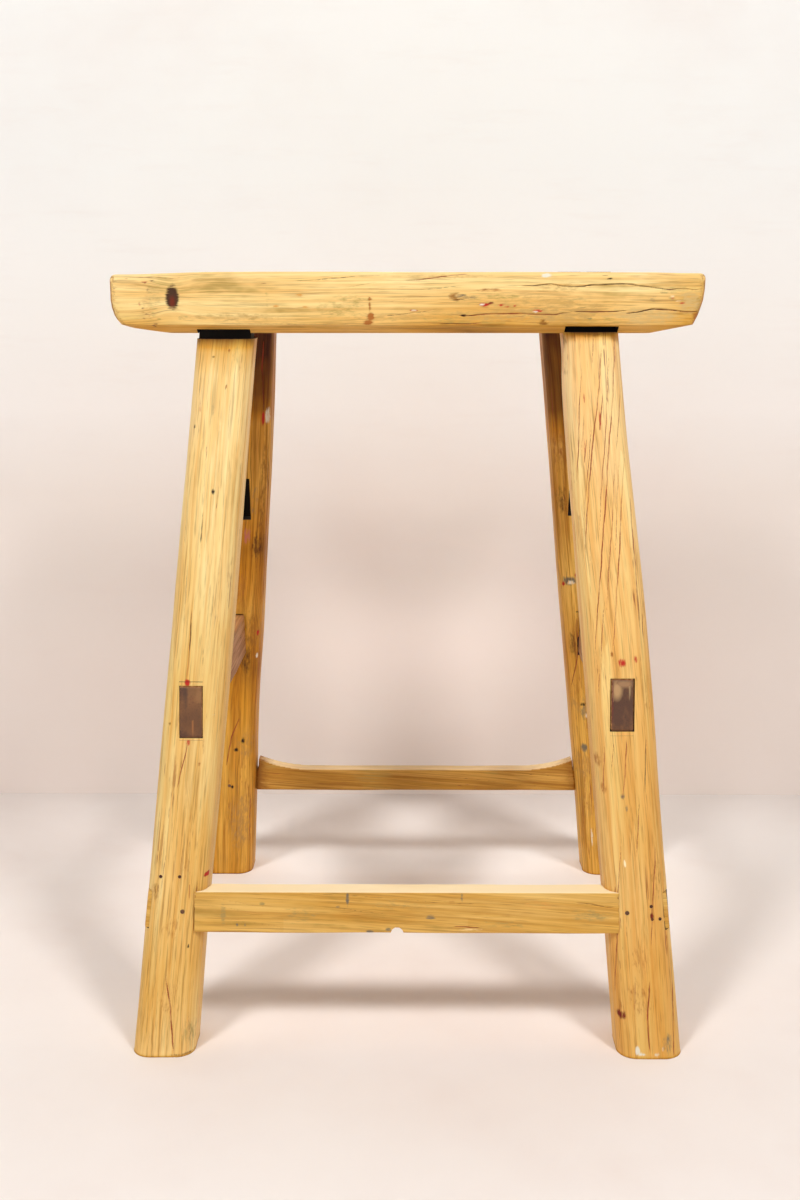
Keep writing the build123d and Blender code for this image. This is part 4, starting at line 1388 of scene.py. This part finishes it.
SEAT_SPOTS = [
    (560, 312, 42, 8, DULL, 0.6), (520, 302, 30, 6, DULL, 0.42), (480, 316, 40, 4, DULL, 0.5),
    (640, 316, 34, 6, DUSTY_STRAW, 0.55), (690, 302, 9, 9, DUSTY_STRAW, 0.6),
    (400, 317, 50, 3, DULL, 0.45), (562, 288, 18, 4, DULL, 0.4), (450, 276, 40, 1.6, DULL, 0.4),
    (300, 324, 60, 1.6, DULL, 0.4), (235, 317, 36, 3, DULL, 0.5), (560, 304, 22, 5, DULL, 0.5),
    (340, 309, 18, 7.5, OLIVE, 0.4), (352, 300, 14, 4, OLIVE, 0.4),
    (267, 300, 1.6, 10, OLIVE, 0.3), (456, 297, 5, 3.2, UMBER, 0.65),
    (461, 296, 4.5, 2, SLATE, 0.6), (470, 297.5, 8, 1.2, SLATE, 0.5),
    (490, 290, 9, 1.4, CINNAMON, 0.5), (500, 297, 16, 2.6, OLIVE, 0.45),
    (440, 318, 24, 4, OLIVE, 0.3), (484, 304.6, 3.8, 1.2, PAINT_RED, 0.9),
    (482, 304.8, 2, 0.6, WHITEWASH, 1), (491, 303, 2.5, 0.8, DEEP_RED, 0.8),
    (501, 305, 1.6, 0.8, PAINT_RED, 0.7), (507, 307, 1.3, 0.8, PAINT_RED, 0.7),
    (515, 306, 1.2, 0.7, PAINT_RED, 0.6), (414, 310.5, 3.2, 0.8, PAINT_RED, 0.8),
    (414, 310.3, 1.6, 0.4, WHITEWASH, 0.8), (538, 311, 3.4, 1, PAINT_RED, 0.85),
    (536, 311.6, 1.6, 0.6, WHITEWASH, 0.9), (463.4, 315.6, 1.6, 0.8, SOOT, 1),
    (543, 323.4, 3.3, 1.3, UMBER, 0.9), (543, 321.2, 1.6, 1.3, UMBER, 0.8),
    (547, 275.2, 3.6, 1.4, WHITEWASH, 0.9), (538, 281, 0.6, 1.2, WHITEWASH, 0.8),
    (610.5, 278.8, 1.9, 0.6, SOOT, 0.95), (664, 292, 3.4, 1.4, MOSS, 0.6),
    (672, 299, 3, 1.6, MOSS, 0.5), (682, 303, 2, 0.8, PAINT_RED, 0.6),
    (673, 298, 1.5, 0.8, PAINT_RED, 0.4), (590, 318.8, 1.6, 1, MOSS, 0.7),
    (696, 316, 2.4, 2.6, CINNAMON, 0.7), (652, 299, 5, 2.4, SLATE, 0.25),
    (370, 299, 1.2, 1.6, CINNAMON, 0.8), (369.7, 306, 1.1, 3.4, CINNAMON, 0.8),
    (370.8, 316.5, 2.6, 2.8, CINNAMON, 0.95), (368, 322.5, 3.2, 1.8, CINNAMON, 0.95),
    (276, 306, 2.4, 0.9, AMBER, 0.7), (299, 295, 3, 1.1, AMBER, 0.6),
    (305, 307, 2.6, 0.9, AMBER, 0.6), (145, 282, 2.6, 0.6, PAINT_RED, 0.5),
    (139, 304, 1, 1.8, PAINT_RED, 0.5), (149, 316, 2.6, 1.6, PAINT_RED, 0.4),
    (154, 326, 1.2, 1, DEEP_RED, 0.7), (152, 300, 6, 15, MOSS, 0.33),
    (146, 308, 4, 10, CINNAMON, 0.3), (182, 317, 5, 3, MOSS, 0.35), (678, 290, 12, 3, MOSS, 0.3),
    (690, 300, 9, 6, OLIVE, 0.35), (610, 320, 22, 3, OLIVE, 0.35), (560, 314, 30, 6, MOSS, 0.3),
    (578, 303, 12, 5, MOSS, 0.3), (478, 300, 26, 5, MOSS, 0.25), (455, 322, 40, 1.4, OLIVE, 0.4),
    (144, 283, 1.6, 0.5, DEEP_RED, 0.6), (151, 281, 1.2, 0.5, DEEP_RED, 0.6),
    (147, 290, 0.7, 1.4, DEEP_RED, 0.5), (138, 303, 0.7, 1.2, DEEP_RED, 0.6),
    (142, 309, 0.6, 1.4, DEEP_RED, 0.5), (147, 314, 1.4, 0.5, DEEP_RED, 0.6),
    (144, 318, 0.6, 1.2, DEEP_RED, 0.5), (151, 318, 1.4, 0.5, DEEP_RED, 0.5),
    (156, 324, 1.4, 0.6, DEEP_RED, 0.6), (150, 287, 0.8, 0.5, OLIVE, 0.6),
    (153, 293, 0.6, 1.4, OLIVE, 0.6), (155, 309, 0.6, 1.6, OLIVE, 0.6),
    (159, 319, 1.6, 0.6, OLIVE, 0.6), (672, 296, 2.2, 0.8, WORN_TONE, 0.6),
    (678, 301, 1.6, 0.7, WORN_TONE, 0.5),
]
SEAT_WEAR = ([-190, -171, -114, -57, -10, 45, 96, 125, 147, 165, 177, 190],
             [0.0, 0.0, -0.15, -0.1, -0.05, 0.25, 0.25, 0.1, -0.15, 0.05, 0.3, 0.3])
KNOT = (171.9, 297.7)
KNOT_SIZE = (4.9, 9.2)
KNOT_DEPTH = 0.35
KNOT_TONE = srgb(70, 46, 30)
HEART_TONE = srgb(112, 42, 24)
SEAT_REACH = (-180, 180, 0.02, 120)
SEAT_HAIRLINES = ((34, 92, 0), (26, 92, 0), (8, 15, 481))
# The front edge darkens towards the underside: painted shade under the plank.
SEAT_SHADE_BY_HEIGHT = ([461.5, 466.5, 467.5, 473, 480, 488, 494, 498, 500],
            [1.0, 0.9, 0.6, 0.45, 0.3, 0.1, 0.1, -0.05, 0.0])
print("seat marks:", len(SEAT_CRACKS) + len(SEAT_SPOTS))

# %% [markdown]
# The wood's fibres part round a knot like water round a stone. So the `grain` places near it
# are pushed away from its middle, which bends every line the wood shader draws there. The
# knot itself is a dark oval with a reddish heart, sunk a little.

# %% Cut the seat's joints and mark it
SEAT_FINISH = old_wood(
    "seat_wood", (255, 230, 164), (252, 214, 140), (234, 182, 102),
    2.2, (0.012, -0.075), 0.0033, reds=0.3, olive=0.9, streaky=0.55)
END_FINISH = old_wood(
    "seat_end_wood", (226, 178, 108), (206, 152, 82), (164, 108, 52),
    6.1, (0.012, -0.075), 0.0033, reds=0.1, olive=0.4, streaky=0.3)
seat.data.materials.append(SEAT_FINISH)
FRONT_FACE = -SEAT_HALF_DEPTH * MM
MORTISE_REACH = (0.455, 0.505)
HOUSING_BOTTOM = 458.5 * MM
HOUSING_TOP = {"left": 464.0 * MM, "right": 466.0 * MM}


def on_seat(pixel):
    """A pixel's place on the seat's front edge: millimetres up and along."""
    place = seen_at(pixel, FRONT_FACE) / MM
    return place[2], place[0]


def housing_tool(leg):
    """The tool for the shallow cut in the underside over a leg, open to the long edge."""
    x, y = leg_middle(leg, SEAT_UNDERSIDE * MM)
    edge = row_of(leg) * (SEAT_HALF_DEPTH + 4) * MM
    return prism([rectangle(x, (y + edge) / 2, height, TENON_SIZE[0], abs(edge - y))
                  for height in (HOUSING_BOTTOM, HOUSING_TOP[leg.split("_")[1]])], dark_hole)


def mortise_tool(leg):
    """The tool for a leg's mortise right through the seat."""
    size = [side + 2 * JOINT_GAP for side in TENON_SIZE]
    return leg_block(leg, *MORTISE_REACH, size, dark_hole)


# The mortises and the shallow housings over the legs are cut with the near-black mortise shade, so
# their walls are painted shade.
cut(seat, *map(mortise_tool, LEG_SPLAY_OUT), *map(housing_tool, LEG_SPLAY_OUT))


def mark_seat(piece):
    """Carves the seat's cracks, sinks its knot and stores its marks."""
    mesh = piece.data
    looks = normals_of(mesh)
    x, y, z = points_of(mesh).T / MM
    front = looks[:, 1] < -0.3
    groups = [(z, x, front, noted_cracks(SEAT_CRACKS, on_seat))]
    sides = ((y, looks[:, 2] > FACING), (y, looks[:, 2] < -FACING), (z, looks[:, 1] > 0.5))
    for seed, ((across, seen), (count, reach, middle)) in enumerate(zip(sides, SEAT_HAIRLINES)):
        lines = hairlines(count, 70 + seed, reach, *SEAT_REACH, middle)
        groups.append((across, x, seen, lines))
    crack, sink = deepest(*groups)
    cover = spot_cover(z, x, front, noted_spots(SEAT_SPOTS, on_seat, lying=True))

    knot_z, knot_x = on_seat(KNOT)
    away_x, away_z = (x - knot_x) / KNOT_SIZE[0], (z - knot_z) / KNOT_SIZE[1]
    away = np.where(front, np.hypot(away_x, away_z), 9)
    dark = 1 - smooth_step(away, 0.4, 1.25)
    heart = 1 - smooth_step(np.hypot(away_x * 1.4, away_z * 1.2 + 0.35), 0.1, 0.75)
    knot_tone = np.outer(1 - heart, KNOT_TONE) + np.outer(heart, HEART_TONE)
    near = away < 1.5
    cover[near, :3] = knot_tone[near]
    cover[near, 3] = dark[near]
    sink_in(mesh, np.maximum(sink, KNOT_DEPTH * dark))

    push = np.exp(-(np.hypot((x - knot_x) / 14, (z - knot_z) / 12) ** 2))
    push = push * np.exp(-((y + SEAT_HALF_DEPTH) / 25) ** 2) * np.sign(z - knot_z + 0.01)
    aside = 5 * push * smooth_step(np.abs(z - knot_z), 0, 9)
    # Painted shade darkens the plank towards its underside, and SEAT_WEAR makes some stretches
    # along it paler and some darker.
    age = np.interp(z, *SEAT_SHADE_BY_HEIGHT) + np.interp(x, *SEAT_WEAR)
    grains_and_marks(mesh, np.c_[y, z - SEAT_MIDDLE + aside, x] * MM, crack, cover, age)


mark_seat(seat)
dress(seat, ["seat"], "seat_wood", END_FINISH)
finish_faces(seat.data, len(seat.data.materials) - 1,
             lambda at, look: abs(look.x) > 0.72 and abs(at.x) > 0.17)

# %% [markdown]
# ## Stretchers and rails
# The two stretchers and the two side rails were scribed to the legs, so their ends are odd
# curves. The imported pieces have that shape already. A merged copy is remeshed into small even
# cells, which gives points enough to carve, and a little smoothing wears the arrises down.

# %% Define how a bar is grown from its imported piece
def grown_piece(node, cell, easing):
    """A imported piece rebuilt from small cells, with worn arrises."""
    piece = merged_copy(node, "old_" + node)
    piece.data.materials.clear()
    even = piece.modifiers.new("even", "REMESH")
    even.mode = "VOXEL"
    even.voxel_size = cell
    ease = piece.modifiers.new("ease", "SMOOTH")
    ease.factor = 0.5
    ease.iterations = easing
    return baked(piece)


def hew(mesh, depth, size, seed):
    """Takes up to depth off a piece's surface in long swells."""
    points = points_of(mesh)
    amount = depth * (0.5 + 0.5 * ripple(points, size, seed))
    move_points(mesh, points - normals_of(mesh) * amount[:, None])


print("bars can be grown")

# %% [markdown]
# The front stretcher's face is dull and olive with slanting lines of growth, and its top is
# pale and bright. A crack opens its right end, and a splinter is gone from the lower edge.

# %% Make the front stretcher
STRETCHER_CRACKS = [
    (0.9, 0.9, 576, 903.3, 591, 904.4, 605, 907.6, 616, 909),
    (0.9, 0.8, 454, 926.5, 468, 927, 481, 928.2),
    (0.5, 0.3, 400, 898.7, 429, 902.3, 462, 903.7, 493, 904.4),
    (0.5, 0.2, 469, 916, 500, 914.5, 558, 916), (0.5, 0.2, 200, 895.4, 254, 905.7, 281, 909.8),
    (0.5, 0.2, 223, 919.4, 267, 925, 295, 931.7), (0.5, 0.2, 292, 894, 336, 895.6, 400, 898.8),
    (0.45, 0.2, 322, 907, 360, 911, 400, 915.3), (0.4, 0.2, 200, 905, 230, 909, 262, 915),
    (0.4, 0.2, 520, 900, 560, 899),
]
STRETCHER_SPOTS = [
    (347.5, 899, 1.2, 4.6, SLATE, 0.8), (223, 914, 2.2, 7, MOSS, 0.55),
    (237, 925, 1, 1.2, SLATE, 0.8), (245, 925, 1, 1, SLATE, 0.7), (370, 932, 3, 1.2, SLATE, 0.8),
    (431, 917, 3.6, 1.8, SLATE, 0.55), (462, 897, 0.9, 3.6, SLATE, 0.6),
    (262, 904, 2.4, 1.2, MOSS, 0.6), (338, 907, 1.6, 0.9, SLATE, 0.7),
    (470, 930, 9, 1.1, STRAW, 0.5), (540, 905, 20, 3, AMBER, 0.35), (590, 916, 16, 5, MOSS, 0.4),
    (300, 915, 16, 6, MOSS, 0.3), (400, 905, 26, 4, MOSS, 0.3), (450, 902, 5, 1.6, CINNAMON, 0.35),
    (388, 930, 2.2, 1.6, SLATE, 0.6), (500, 925, 22, 3, MOSS, 0.35),
]
STRETCHER_MIDDLE = 94.0
STRETCHER_PLACE = 135
STRETCHER_SLANT = 0.055
STRETCHER_AGE = (-1.3, 0.45, 0.6)
BAR_SWELL = (0.05, 0.03, 0.02)
SQUEEZED = 8 * MM
TRIMS = {"front_left": 2.3 * MM, "front_right": 1.7 * MM}
STRETCHER_FINISH = old_wood(
    "stretcher_wood_front", (246, 208, 128), (228, 182, 96), (198, 144, 64),
    20.4, (0.004, -0.05), 0.0034, reds=0.05, olive=0.75, roughness=0.45, streaky=0.5)


def on_stretcher(pixel):
    """A pixel's place on the front stretcher: millimetres up and along."""
    return on_front(pixel)[::-1]


front_bar = grown_piece("front_stretcher", 0.7 * MM, 6)
mesh = front_bar.data
hew(mesh, 0.5 * MM, BAR_SWELL, 5)
x, y, z = points_of(mesh).T / MM
looks = normals_of(mesh)
front = (looks[:, 1] < -0.4) & (np.abs(x) < 141)
top = (looks[:, 2] > 0.5) & (np.abs(x) < 142)
behind = hairlines(12, 5, 12, -135, 135, -0.03, 70, STRETCHER_MIDDLE)
crack, sink = deepest((z, x, front, noted_cracks(STRETCHER_CRACKS, on_stretcher)),
                      (z, x, looks[:, 1] > 0.5, behind))
cover = spot_cover(z, x, front, noted_spots(STRETCHER_SPOTS, on_stretcher, lying=True))
low_ends = (z < 90) & (np.abs(x + 20) > 60)
age = np.select([top, ~low_ends], STRETCHER_AGE[:2], STRETCHER_AGE[2])
sink_in(mesh, sink)
grain = np.c_[y + STRETCHER_PLACE, z - STRETCHER_MIDDLE + STRETCHER_SLANT * x, x] * MM
grains_and_marks(mesh, grain, crack, cover, age)
# Each tenon ends at its leg's rounded outer face. The last stretch of it is squeezed in.
points = points_of(mesh)
for leg, trim in TRIMS.items():
    x, y = leg_middle(leg, points[:, 2])
    flat = leg_width(points[:, 2]) / 2 - LEG_CORNER
    beside = np.clip(np.abs(points[:, 1] - y) - flat, 0, LEG_CORNER)
    start = np.abs(x) + flat + np.sqrt(LEG_CORNER**2 - beside**2) - SQUEEZED
    past = np.maximum(points[:, 0] * side_of(leg) - start, 0)
    points[:, 0] -= side_of(leg) * past * trim / SQUEEZED
move_points(mesh, points)
dress(front_bar, ["front_stretcher"], "stretcher_wood", STRETCHER_FINISH)

# %% [markdown]
# The back stretcher is slimmer and darker, and its upper edge is hollowed in long curves.

# %% Make the back stretcher
BACK_MIDDLE = 84
BACK_PLACE = 136
BACK_SLANT = 0.07
BACK_FINISH = old_wood(
    "stretcher_wood_back", (214, 166, 84), (190, 138, 56), (150, 98, 34),
    31.7, (0.02, -0.03), 0.003, reds=0.15, olive=0.7, streaky=0.8)
back_bar = grown_piece("back_stretcher", 0.9 * MM, 6)
mesh = back_bar.data
hew(mesh, 0.6 * MM, BAR_SWELL, 9)
x, y, z = points_of(mesh).T / MM
looks = normals_of(mesh)
lines = hairlines(22, 15, 9, -130, 140, -0.05, 60, BACK_MIDDLE)
crack, sink = crack_depths(z, x, np.abs(looks[:, 1]) > 0.5, lines)
cover = np.tile((*UMBER, 0.0), (len(x), 1))
cover[:, 3] = 0.75 * smooth_step(-x, 108, 128) + 0.35 * smooth_step(x, 124, 138)
age = np.where(looks[:, 2] > 0.5, -0.7, 0.2)
sink_in(mesh, sink)
grain = np.c_[y - BACK_PLACE, z - BACK_MIDDLE + BACK_SLANT * x, x] * MM
grains_and_marks(mesh, grain, crack, cover, age)
dress(back_bar, ["back_stretcher"], "stretcher_wood", BACK_FINISH)

# %% [markdown]
# ## Side rails and their dark ends
# A side rail is a thin board. From the front only the sawn ends of its tenons show, flush in
# the legs. End grain drinks dirt, so they are dark brown with a paler worn corner. The faces
# that look out of a leg get their own finish, told apart by their direction and place.

# %% Make the side rails
RAIL_FINISH = old_wood(
    "rail_wood", (196, 150, 108), (176, 126, 88), (136, 88, 54),
    41.3, (0.02, 0.03), 0.003, reds=0.2, olive=0.4)
RAIL_SLIM = 0.88
RAIL_MIDDLE = 220
RAIL_AGE = 0.5
RAIL_REACH = (-0.133, 0.133)
RAIL_HEIGHTS = (0.224, 0.22)
RAIL_ENDS = {
    "left": [
        (199, 696, 3, 5, srgb(150, 108, 62), 0.5), (192, 692, 3, 3, srgb(128, 90, 48), 0.45),
        (195, 720, 9, 9, srgb(82, 48, 18), 0.65), (193, 726, 0.4, 6, CINNAMON, 0.5),
        (186, 700, 1.2, 10, SOOT, 0.5),
    ],
    "right": [
        (617, 690, 3.4, 6, srgb(196, 156, 106), 0.8), (624, 684, 6, 2.4, srgb(182, 140, 96), 0.6),
        (622, 679.5, 7, 0.6, srgb(232, 170, 140), 0.8), (630, 690, 0.5, 6, STRAW, 0.35),
        (613, 700, 0.5, 14, DEEP_RED, 0.8),
    ],
}
for side, ends in RAIL_ENDS.items():
    node = "side_rail_" + side
    rail = grown_piece(node, 0.9 * MM, 4)
    mesh = rail.data
    points = points_of(mesh)
    middle = np.interp(points[:, 1], RAIL_REACH, RAIL_HEIGHTS)
    slim = 1 - (1 - RAIL_SLIM) * (1 - smooth_step(np.abs(points[:, 1]), 0.106, 0.112))
    points[:, 2] = middle + (points[:, 2] - middle) * slim
    move_points(mesh, points)
    ends_x = [leg_middle(row + side, height)[0]
              for row, height in zip(("front_", "back_"), RAIL_HEIGHTS)]
    line_x = np.interp(points[:, 1], RAIL_REACH, ends_x) / MM
    x, y, z = points.T / MM
    tips = (np.abs(normals_of(mesh)[:, 1]) > 0.7) & (np.abs(y) > 128)
    cover = spot_cover(x, z, tips & (y < 0), noted_spots(ends, on_front))
    lines = hairlines(14, 31, 15, -110, 110, 0.01, 80, RAIL_MIDDLE + 2)
    crack, sink = crack_depths(z, y, ~tips & (np.abs(y) < 90), lines)
    sink_in(mesh, sink)
    grain = np.c_[x - line_x, z - RAIL_MIDDLE, y] * MM
    grains_and_marks(mesh, grain, crack, cover, np.full(len(x), RAIL_AGE))
    dress(rail, [node], "rail_wood", RAIL_FINISH, TENON_END)
    finish_faces(mesh, 1, lambda at, look: abs(look.y) > 0.7 and abs(at.y) > 0.128)

# %% [markdown]
# ## Wedges
# Pale slivers were driven beside the rail tenons and across the leg tenons to lock them. They
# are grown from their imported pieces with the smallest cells, and hewn rough. Where a tip is
# thinner than a cell the remesh leaves crumbs, so only the largest part of each mesh stays.

# %% Make the wedges
WEDGE_FINISH = old_wood(
    "wedge_wood", (244, 218, 160), (230, 196, 128), (186, 142, 80),
    55.0, (0.01, 0.02), 0.0016, reds=0.2, olive=0.5, roughness=0.6)


def main_part(piece):
    """Drops crumbs: only the largest of a mesh's separate parts stays."""
    shape = bmesh.new()
    shape.from_mesh(piece.data)
    left, parts = set(shape.verts), []
    while left:
        part, edge = set(), {next(iter(left))}
        while edge:
            part |= edge
            edge = {side.other_vert(point) for point in edge for side in point.link_edges} - part
        left -= part
        parts.append(part)
    keep = max(parts, key=len)
    crumbs = [point for point in shape.verts if point not in keep]
    bmesh.ops.delete(shape, geom=crumbs, context="VERTS")
    shape.to_mesh(piece.data)
    shape.free()
    return piece


THIN_WEDGE = (0.25 * MM, 1, 0.04 * MM, 0.15)
SEAT_WEDGE = (0.45 * MM, 2, 0.2 * MM, 0.35)
WEDGE_SWELL = (0.006, 0.006, 0.006)
DIRT_SWELL = (0.008, 0.008, 0.003)
for node in sorted(frame["nodes"]):
    if "wedge" in node:
        thin = node.startswith("rail")
        cell, easing, depth, soiled = THIN_WEDGE if thin else SEAT_WEDGE
        wedge = main_part(grown_piece(node, cell, easing))
        hew(wedge.data, depth, WEDGE_SWELL, len(node))
        points = points_of(wedge.data)
        dirt = np.tile((*SOOT, 0.0), (len(points), 1))
        dirt[:, 3] = soiled + 0.35 * ripple(points, DIRT_SWELL, 2)
        nothing = np.zeros(len(points))
        grain = points[:, [0, 2, 1]] if thin else points
        grains_and_marks(wedge.data, grain, nothing, dirt, nothing)
        dress(wedge, [node], "wedge_wood", WEDGE_FINISH)

# %% [markdown]
# ## Pegs and nails
# Four dark pegs pin the stretchers and five old nails sit near the joints. Both are rods with
# a profile, repeated at points, which is work for Geometry Nodes: a line is swept with a
# ring whose size follows a curve, and the rod is set on each point with its own random twist.

# %% Build the trees for pegs and nails
TWIST = ((-0.06, -3.1, -0.06), (0.06, 3.1, 0.06))


def rod_tree(name, profile):
    """A rod along Y whose thickness follows a profile of (share of length, share of radius)."""
    tree, given = new_tree(name, {
        "Points": "Geometry", "Length": "Float", "Radius": "Float", "Facets": "Int",
        "Roughness": "Float", "Seed": "Int", "Finish": "Material"})
    end = put(tree, "ShaderNodeCombineXYZ", None, given["Length"])
    line = put(tree, "GeometryNodeCurvePrimitiveLine", None, end.outputs[0])
    rows = put(tree, "GeometryNodeResampleCurve", line.outputs[0], None, 40)
    ring = put(tree, "GeometryNodeCurvePrimitiveCircle", given["Facets"])
    feed(ring, Radius=1.0)
    share = put(tree, "GeometryNodeSplineParameter").outputs["Factor"]
    size = put(tree, "ShaderNodeFloatCurve", 1.0, share)
    curve = size.mapping.curves[0]
    for place, value in profile[1:-1]:
        curve.points.new(place, value)
    for point, (place, value) in zip(curve.points, profile):
        point.location = (place, value)
        point.handle_type = "VECTOR"
    size.mapping.update()
    thick = calculate("MULTIPLY", size.outputs[0], given["Radius"])
    rod = put(tree, "GeometryNodeCurveToMesh", rows.outputs[0], ring.outputs[0])
    feed(rod, Scale=thick, Fill_Caps=True)
    place = put(tree, "GeometryNodeInputPosition").outputs[0]
    coarse = vectors("MULTIPLY", place, (900, 900, 900))
    bump = put(tree, "ShaderNodeTexNoise", coarse, None, 1.0, 2.0).outputs["Color"]
    bump = vectors("SUBTRACT", bump, HALF)
    shift = vectors("SCALE", bump, scale=given["Roughness"])
    rough = put(tree, "GeometryNodeSetPosition", rod.outputs[0], None, None, shift)
    twist = put(tree, "FunctionNodeRandomValue", *TWIST, data_type="FLOAT_VECTOR")
    feed(twist, Seed=given["Seed"])
    placed = put(tree, "GeometryNodeInstanceOnPoints", given["Points"], None, rough.outputs[0])
    feed(placed, Rotation=twist.outputs[0])
    finish_tree(tree, placed.outputs[0], given["Finish"])
    return tree


PEG_PROFILE = ((0, 0.8), (0.03, 0.97), (0.06, 1.0), (0.94, 1.0), (1, 0.85))
NAIL_PROFILE = ((0, 0.72), (0.03, 1.0), (0.07, 0.96), (0.09, 0.5), (0.8, 0.45), (1, 0.12))
peg_rule = rod_tree("peg_rule", PEG_PROFILE)
nail_rule = rod_tree("nail_rule", NAIL_PROFILE)
print("rod trees ready")

# %% [markdown]
# The rods start on the real surface, so a sight line is cast at the carved leg to find it.
# Each rod stands a half millimetre proud there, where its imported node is.

# %% Set the pegs and nails
PROUD = 0.5 * MM
PEG_LENGTH = 20 * MM
PEG_SIZE = (1.6 * MM, 9)
NAIL_LENGTH = 14 * MM
NAIL_SIZE = (1.2 * MM, 14)
ROD_ROUGHNESS = 0.3 * MM
NAILS = {"front_left": ((10.5, 116.5), (-1.8, 116.5)),
         "front_right": ((8.0, 98.2), (8.0, 89.8), (13.0, 89.8))}
PEG_WOOD = end_wood("peg_wood", srgb(92, 58, 34), srgb(140, 96, 58), 7.7)
iron, tree, shader = new_material("rusty_iron")
crust = speckle(own_place(tree), (900, 900, 900), detail=4, roughness=0.7)
bump = put(tree, "ShaderNodeBump", 0.6, 0.0004, None, crust).outputs[0]
rust = blend(rise(crust, 0.4, 0.65), srgb(44, 28, 22), srgb(120, 62, 38))
feed(shader, Base_Color=rust, Roughness=rise(crust, 0.3, 0.7, 0.9), Normal=bump,
     Metallic=0.35)


def surface_y(leg, x, z):
    """How far back a leg's carved front surface lies at a place."""
    start = (x, -0.4 if row_of(leg) < 0 else 0.03, z)
    return bpy.data.objects["old_leg_" + leg].ray_cast(start, (0, 1, 0))[1].y


def rods(name, nodes, rule, places, length, radius, facets, slot, finish):
    """Rods set at places, as one piece."""
    piece = run_tree(solid(name, places, []), rule, {
        "Length": length, "Radius": radius, "Facets": facets, "Roughness": ROD_ROUGHNESS,
        "Seed": len(places), "Finish": finish})
    clean = np.zeros((len(piece.data.vertices), 4))
    set_values(piece.data, "stain", "FLOAT_COLOR", clean)
    dress(piece, nodes, slot)


for row, length in (("front", PEG_LENGTH), ("back", None)):
    legs = [row + "_left", row + "_right"]
    nodes = ["stretcher_peg_" + leg for leg in legs]
    places = []
    for leg, node in zip(legs, nodes):
        low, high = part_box(node)
        middle = (low + high) / 2
        start = surface_y(leg, middle.x, middle.z) - PROUD
        places.append((middle.x, start, middle.z))
        length = length or high.y - start
    rods("old_pegs_" + row, nodes, peg_rule, places, length, *PEG_SIZE, "peg_wood", PEG_WOOD)

for leg, spots in NAILS.items():
    places = []
    for outward, up in spots:
        height = up * MM
        x = leg_middle(leg, height)[0] + side_of(leg) * outward * MM
        places.append((x, surface_y(leg, x, height) - PROUD, height))
    rods("rusty_nails_" + leg, ["old_nails_" + leg], nail_rule, places, NAIL_LENGTH,
         *NAIL_SIZE, "rusty_iron", iron)
